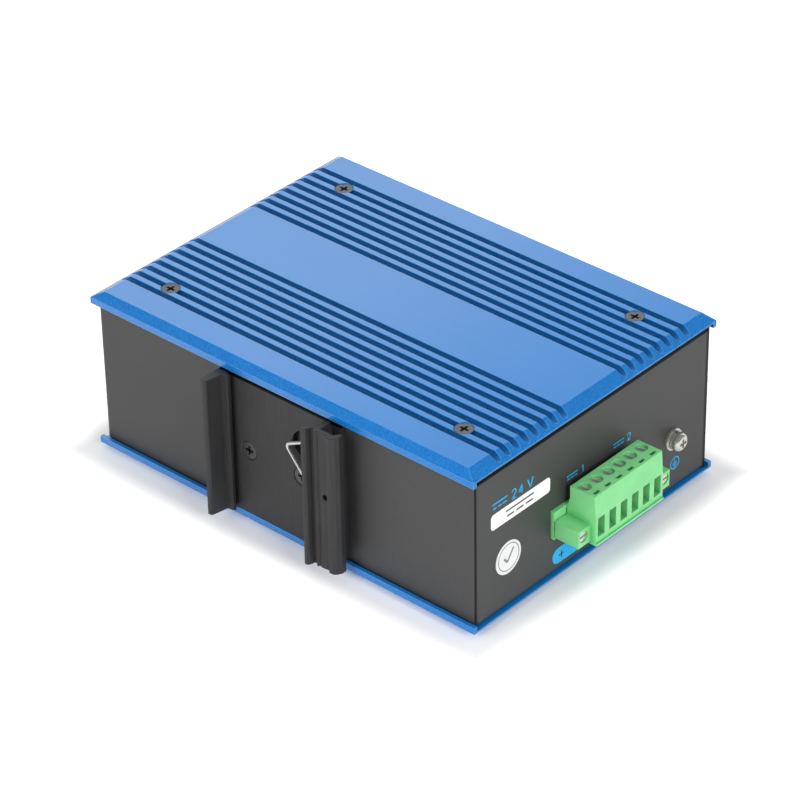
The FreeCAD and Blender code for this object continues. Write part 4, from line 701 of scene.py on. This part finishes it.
bar = rounded_bar(**BADGE) + (False,)
bands_piece("end_badge", END_WALL, FILM, [bar], CYAN_PRINT)
plus = [along_line([(PLUS_Y - PLUS_ARM, PLUS_Z), (PLUS_Y + PLUS_ARM, PLUS_Z)]),
        along_line([(PLUS_Y, PLUS_Z - PLUS_ARM), (PLUS_Y, PLUS_Z + PLUS_ARM)])]
bands_piece("badge_sign", END_WALL + FILM, FILM, strokes(plus, 0.35), BLACK_PRINT)
print("label", round(LABEL["right"] - LABEL["left"], 1), "mm long, badge",
      round(BADGE["right"] - BADGE["left"], 1), "mm long")

# %% [markdown]
# Over the plug stand the numbers of the two inputs, and over the label the rating, all in cyan
# ink and in one piece. The larger rating has the wider stroke.

# %% Numbers and rating
RATING_LOW, RATING_HIGH = 38.7, 41.7
captions = direct_current(-12.6, -7.8, 32.8, 0.55) + digit(1, -6.2, 31.5, 33.9)
captions += direct_current(8.2, 13.0, 32.9, 0.55) + digit(2, 14.6, 31.6, 34.0)
rating = direct_current(-45.0, -38.6, 40.3, 0.75) + digit(2, -36.6, RATING_LOW, RATING_HIGH)
rating += digit(4, -33.6, RATING_LOW, RATING_HIGH) + letter_v(-29.9, RATING_LOW, RATING_HIGH, 2.4)
inks = strokes(captions, 0.36) + strokes(rating, 0.45)
bands_piece("end_numbers", END_WALL, FILM, inks, CYAN_PRINT)
print("strokes of numbers and rating:", len(inks))

# %% [markdown]
# The earth sign stands under the earth screw: a stem over three bars, each shorter than the last,
# in a ring.

# %% Earth sign
EARTH_SIGN = (37.4, 12.0)
STEM_AND_BARS = np.array([[(0.0, 1.4), (0.0, -0.1)], [(-1.1, -0.1), (1.1, -0.1)],
                          [(-0.75, -0.7), (0.75, -0.7)], [(-0.4, -1.25), (0.4, -1.25)]])
earth = [ring(EARTH_SIGN, 2.15, 1.8, 49)]
earth += strokes([along_line(line + EARTH_SIGN) for line in STEM_AND_BARS], 0.3)
bands_piece("earth_sign", END_WALL, FILM, earth, CYAN_PRINT)
print("bands of the earth sign:", len(earth))

# %% [markdown]
# ## Round sticker
#
# The paper sticker carries a plain inspection mark: one check mark in a ring, in grey ink.

# %% Sticker mark
STICKER_MIDDLE = (-38.1, 20.0)
STICKER_FILM = 0.03
GREY_PRINT = moulded("grey_sticker_ink", "#77787A", "#838486", 0.5, 0.3, 0.0, 0.0)
check_mark = strokes([along_line([(-40.1, 20.2), (-38.7, 18.5), (-36.0, 22.4)], 0.3)], 0.7)
rim = ring(STICKER_MIDDLE, 4.55, 4.25, 73)
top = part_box("round_sticker")[1].x / MM
bands_piece("sticker_mark", top, STICKER_FILM, check_mark + [rim], GREY_PRINT)
print("sticker top at x =", round(top, 2), "mm")

# %% [markdown]
# ## Studio
#
# The photograph has a white floor and a white room. The floor is a large sheet that stays white
# to the camera by its own light, and still darkens where the switch keeps light away. Its own
# light fades out over the last millimetres toward the switch, so the contact shadow stays. It
# lies a hair below the switch, so that the two faces never coincide.

# %% Floor
FLOOR_SIDE, FLOOR_DROP = 6.0, 0.00002
FADE_MM, FLOOR_LIGHT = (3.0, 14.0), (0.05, 0.5)
WHITE = (1.0, 1.0, 1.0, 1.0)


def white_floor():
    """White paper with its own light for camera rays, and a diffuse share that shows the shadow.

    The distance from the switch is the larger of |x| - half length and |y| - half depth.
    """
    material, tree, place = start("white_studio_paper")
    split = add(tree, "ShaderNodeSeparateXYZ", inputs={"Vector": place}).outputs
    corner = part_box("upper_cover")[1]
    past = []
    for letter, half in (("X", corner.x), ("Y", corner.y)):
        away = add(tree, "ShaderNodeMath", {"operation": "ABSOLUTE"}, {0: split[letter]})
        past.append(add(tree, "ShaderNodeMath", {"operation": "SUBTRACT"}, {
            0: away.outputs[0], 1: half}).outputs[0])
    distance = add(tree, "ShaderNodeMath", {"operation": "MAXIMUM"}, {0: past[0], 1: past[1]})
    fade = from_to(distance.outputs[0], [limit * MM for limit in FADE_MM], FLOOR_LIGHT)
    light = add(tree, "ShaderNodeMapRange", {"interpolation_type": "SMOOTHSTEP"}, fade)
    paper = add(tree, "ShaderNodeBsdfDiffuse", inputs={"Color": linear("#F2F2F2")})
    own = add(tree, "ShaderNodeEmission", inputs={
        "Color": WHITE, "Strength": light.outputs["Result"]})
    both = add(tree, "ShaderNodeAddShader", inputs={0: paper.outputs[0], 1: own.outputs[0]})
    seen = add(tree, "ShaderNodeLightPath").outputs["Is Camera Ray"]
    finish_with(tree, add(tree, "ShaderNodeMixShader", inputs={
        0: seen, 1: paper.outputs[0], 2: both.outputs[0]}))
    return material


corners = np.array([[-0.5, -0.5, 0], [0.5, -0.5, 0], [0.5, 0.5, 0], [-0.5, 0.5, 0]]) * FLOOR_SIDE
floor_mesh = bpy.data.meshes.new("studio_floor")
floor_mesh.from_pydata((corners - [0, 0, FLOOR_DROP]).tolist(), [], [[0, 1, 2, 3]])
floor_mesh.materials.append(white_floor())
floor = bpy.data.objects.new("studio_floor", floor_mesh)
bpy.context.scene.collection.objects.link(floor)
print("floor", FLOOR_SIDE, "m wide")

# %% [markdown]
# The room is bright behind the switch and dim behind the photographer. That keeps the blue of the
# sloped edges deep while the level faces turn pale. Light Path tells which ray asks: the
# picture's background is plain white, reflections see the bright and the dim side, and the rest
# sees even grey.

# %% Room
EVEN_LIGHT = 0.45
ROOM_SPAN, ROOM_LIGHT = (0.35, 0.66), (0.12, 1.5)


def white_room():
    """A world; its glossy light follows the ray's dot product with the way behind the switch."""
    world = bpy.data.worlds.new("white_room")
    bpy.context.scene.world = world
    world.use_nodes = True
    tree = world.node_tree
    tree.nodes.clear()
    way = add(tree, "ShaderNodeTexCoord").outputs["Generated"]
    behind = (-axes[2][0], -axes[2][1], 0.0)
    toward = add(tree, "ShaderNodeVectorMath", {"operation": "DOT_PRODUCT"}, {0: way, 1: behind})
    span = from_to(toward.outputs["Value"], ROOM_SPAN, ROOM_LIGHT)
    bright = add(tree, "ShaderNodeMapRange", inputs=span).outputs["Result"]
    plain, shiny, white = [
        add(tree, "ShaderNodeBackground", inputs={"Color": WHITE, "Strength": strength}).outputs[0]
        for strength in (EVEN_LIGHT, bright, 1.0)]
    rays = add(tree, "ShaderNodeLightPath").outputs
    light = plain
    answers = {"Is Glossy Ray": shiny, "Is Transmission Ray": white, "Is Camera Ray": white}
    for ray, answer in answers.items():
        light = add(tree, "ShaderNodeMixShader", inputs={
            0: rays[ray], 1: light, 2: answer}).outputs[0]
    add(tree, "ShaderNodeOutputWorld", inputs={"Surface": light})
    return world


print("made", white_room().name)

# %% [markdown]
# Three square softboxes light the switch: a weak one above, and one for each of the two sides
# that the camera sees. They stay out of reflections, because the photograph shows none of its
# lamps.

# %% Softboxes
AIM = (0, 0, 0.03)
SOFTBOXES = {
    "top_softbox": dict(place=(-0.15, 0.25, 1.3), side=1.1, watts=3.0),
    "left_softbox": dict(place=(-0.15, -1.4, 0.65), side=0.8, watts=14.0),
    "right_softbox": dict(place=(1.4, -0.35, 0.65), side=0.8, watts=16.0),
}


def softbox(name, place, side, watts):
    """A square area lamp at a place, aimed at the switch; its -Z axis is the way that it shines."""
    lamp = bpy.data.lights.new(name, "AREA")
    lamp.shape, lamp.size, lamp.energy = "SQUARE", side, watts
    box = bpy.data.objects.new(name, lamp)
    bpy.context.scene.collection.objects.link(box)
    box.location = place
    box.visible_glossy = False
    box.rotation_euler = (Vector(AIM) - Vector(place)).to_track_quat("-Z", "Y").to_euler()


for name, settings in SOFTBOXES.items():
    softbox(name, **settings)
print("softboxes:", len(SOFTBOXES))
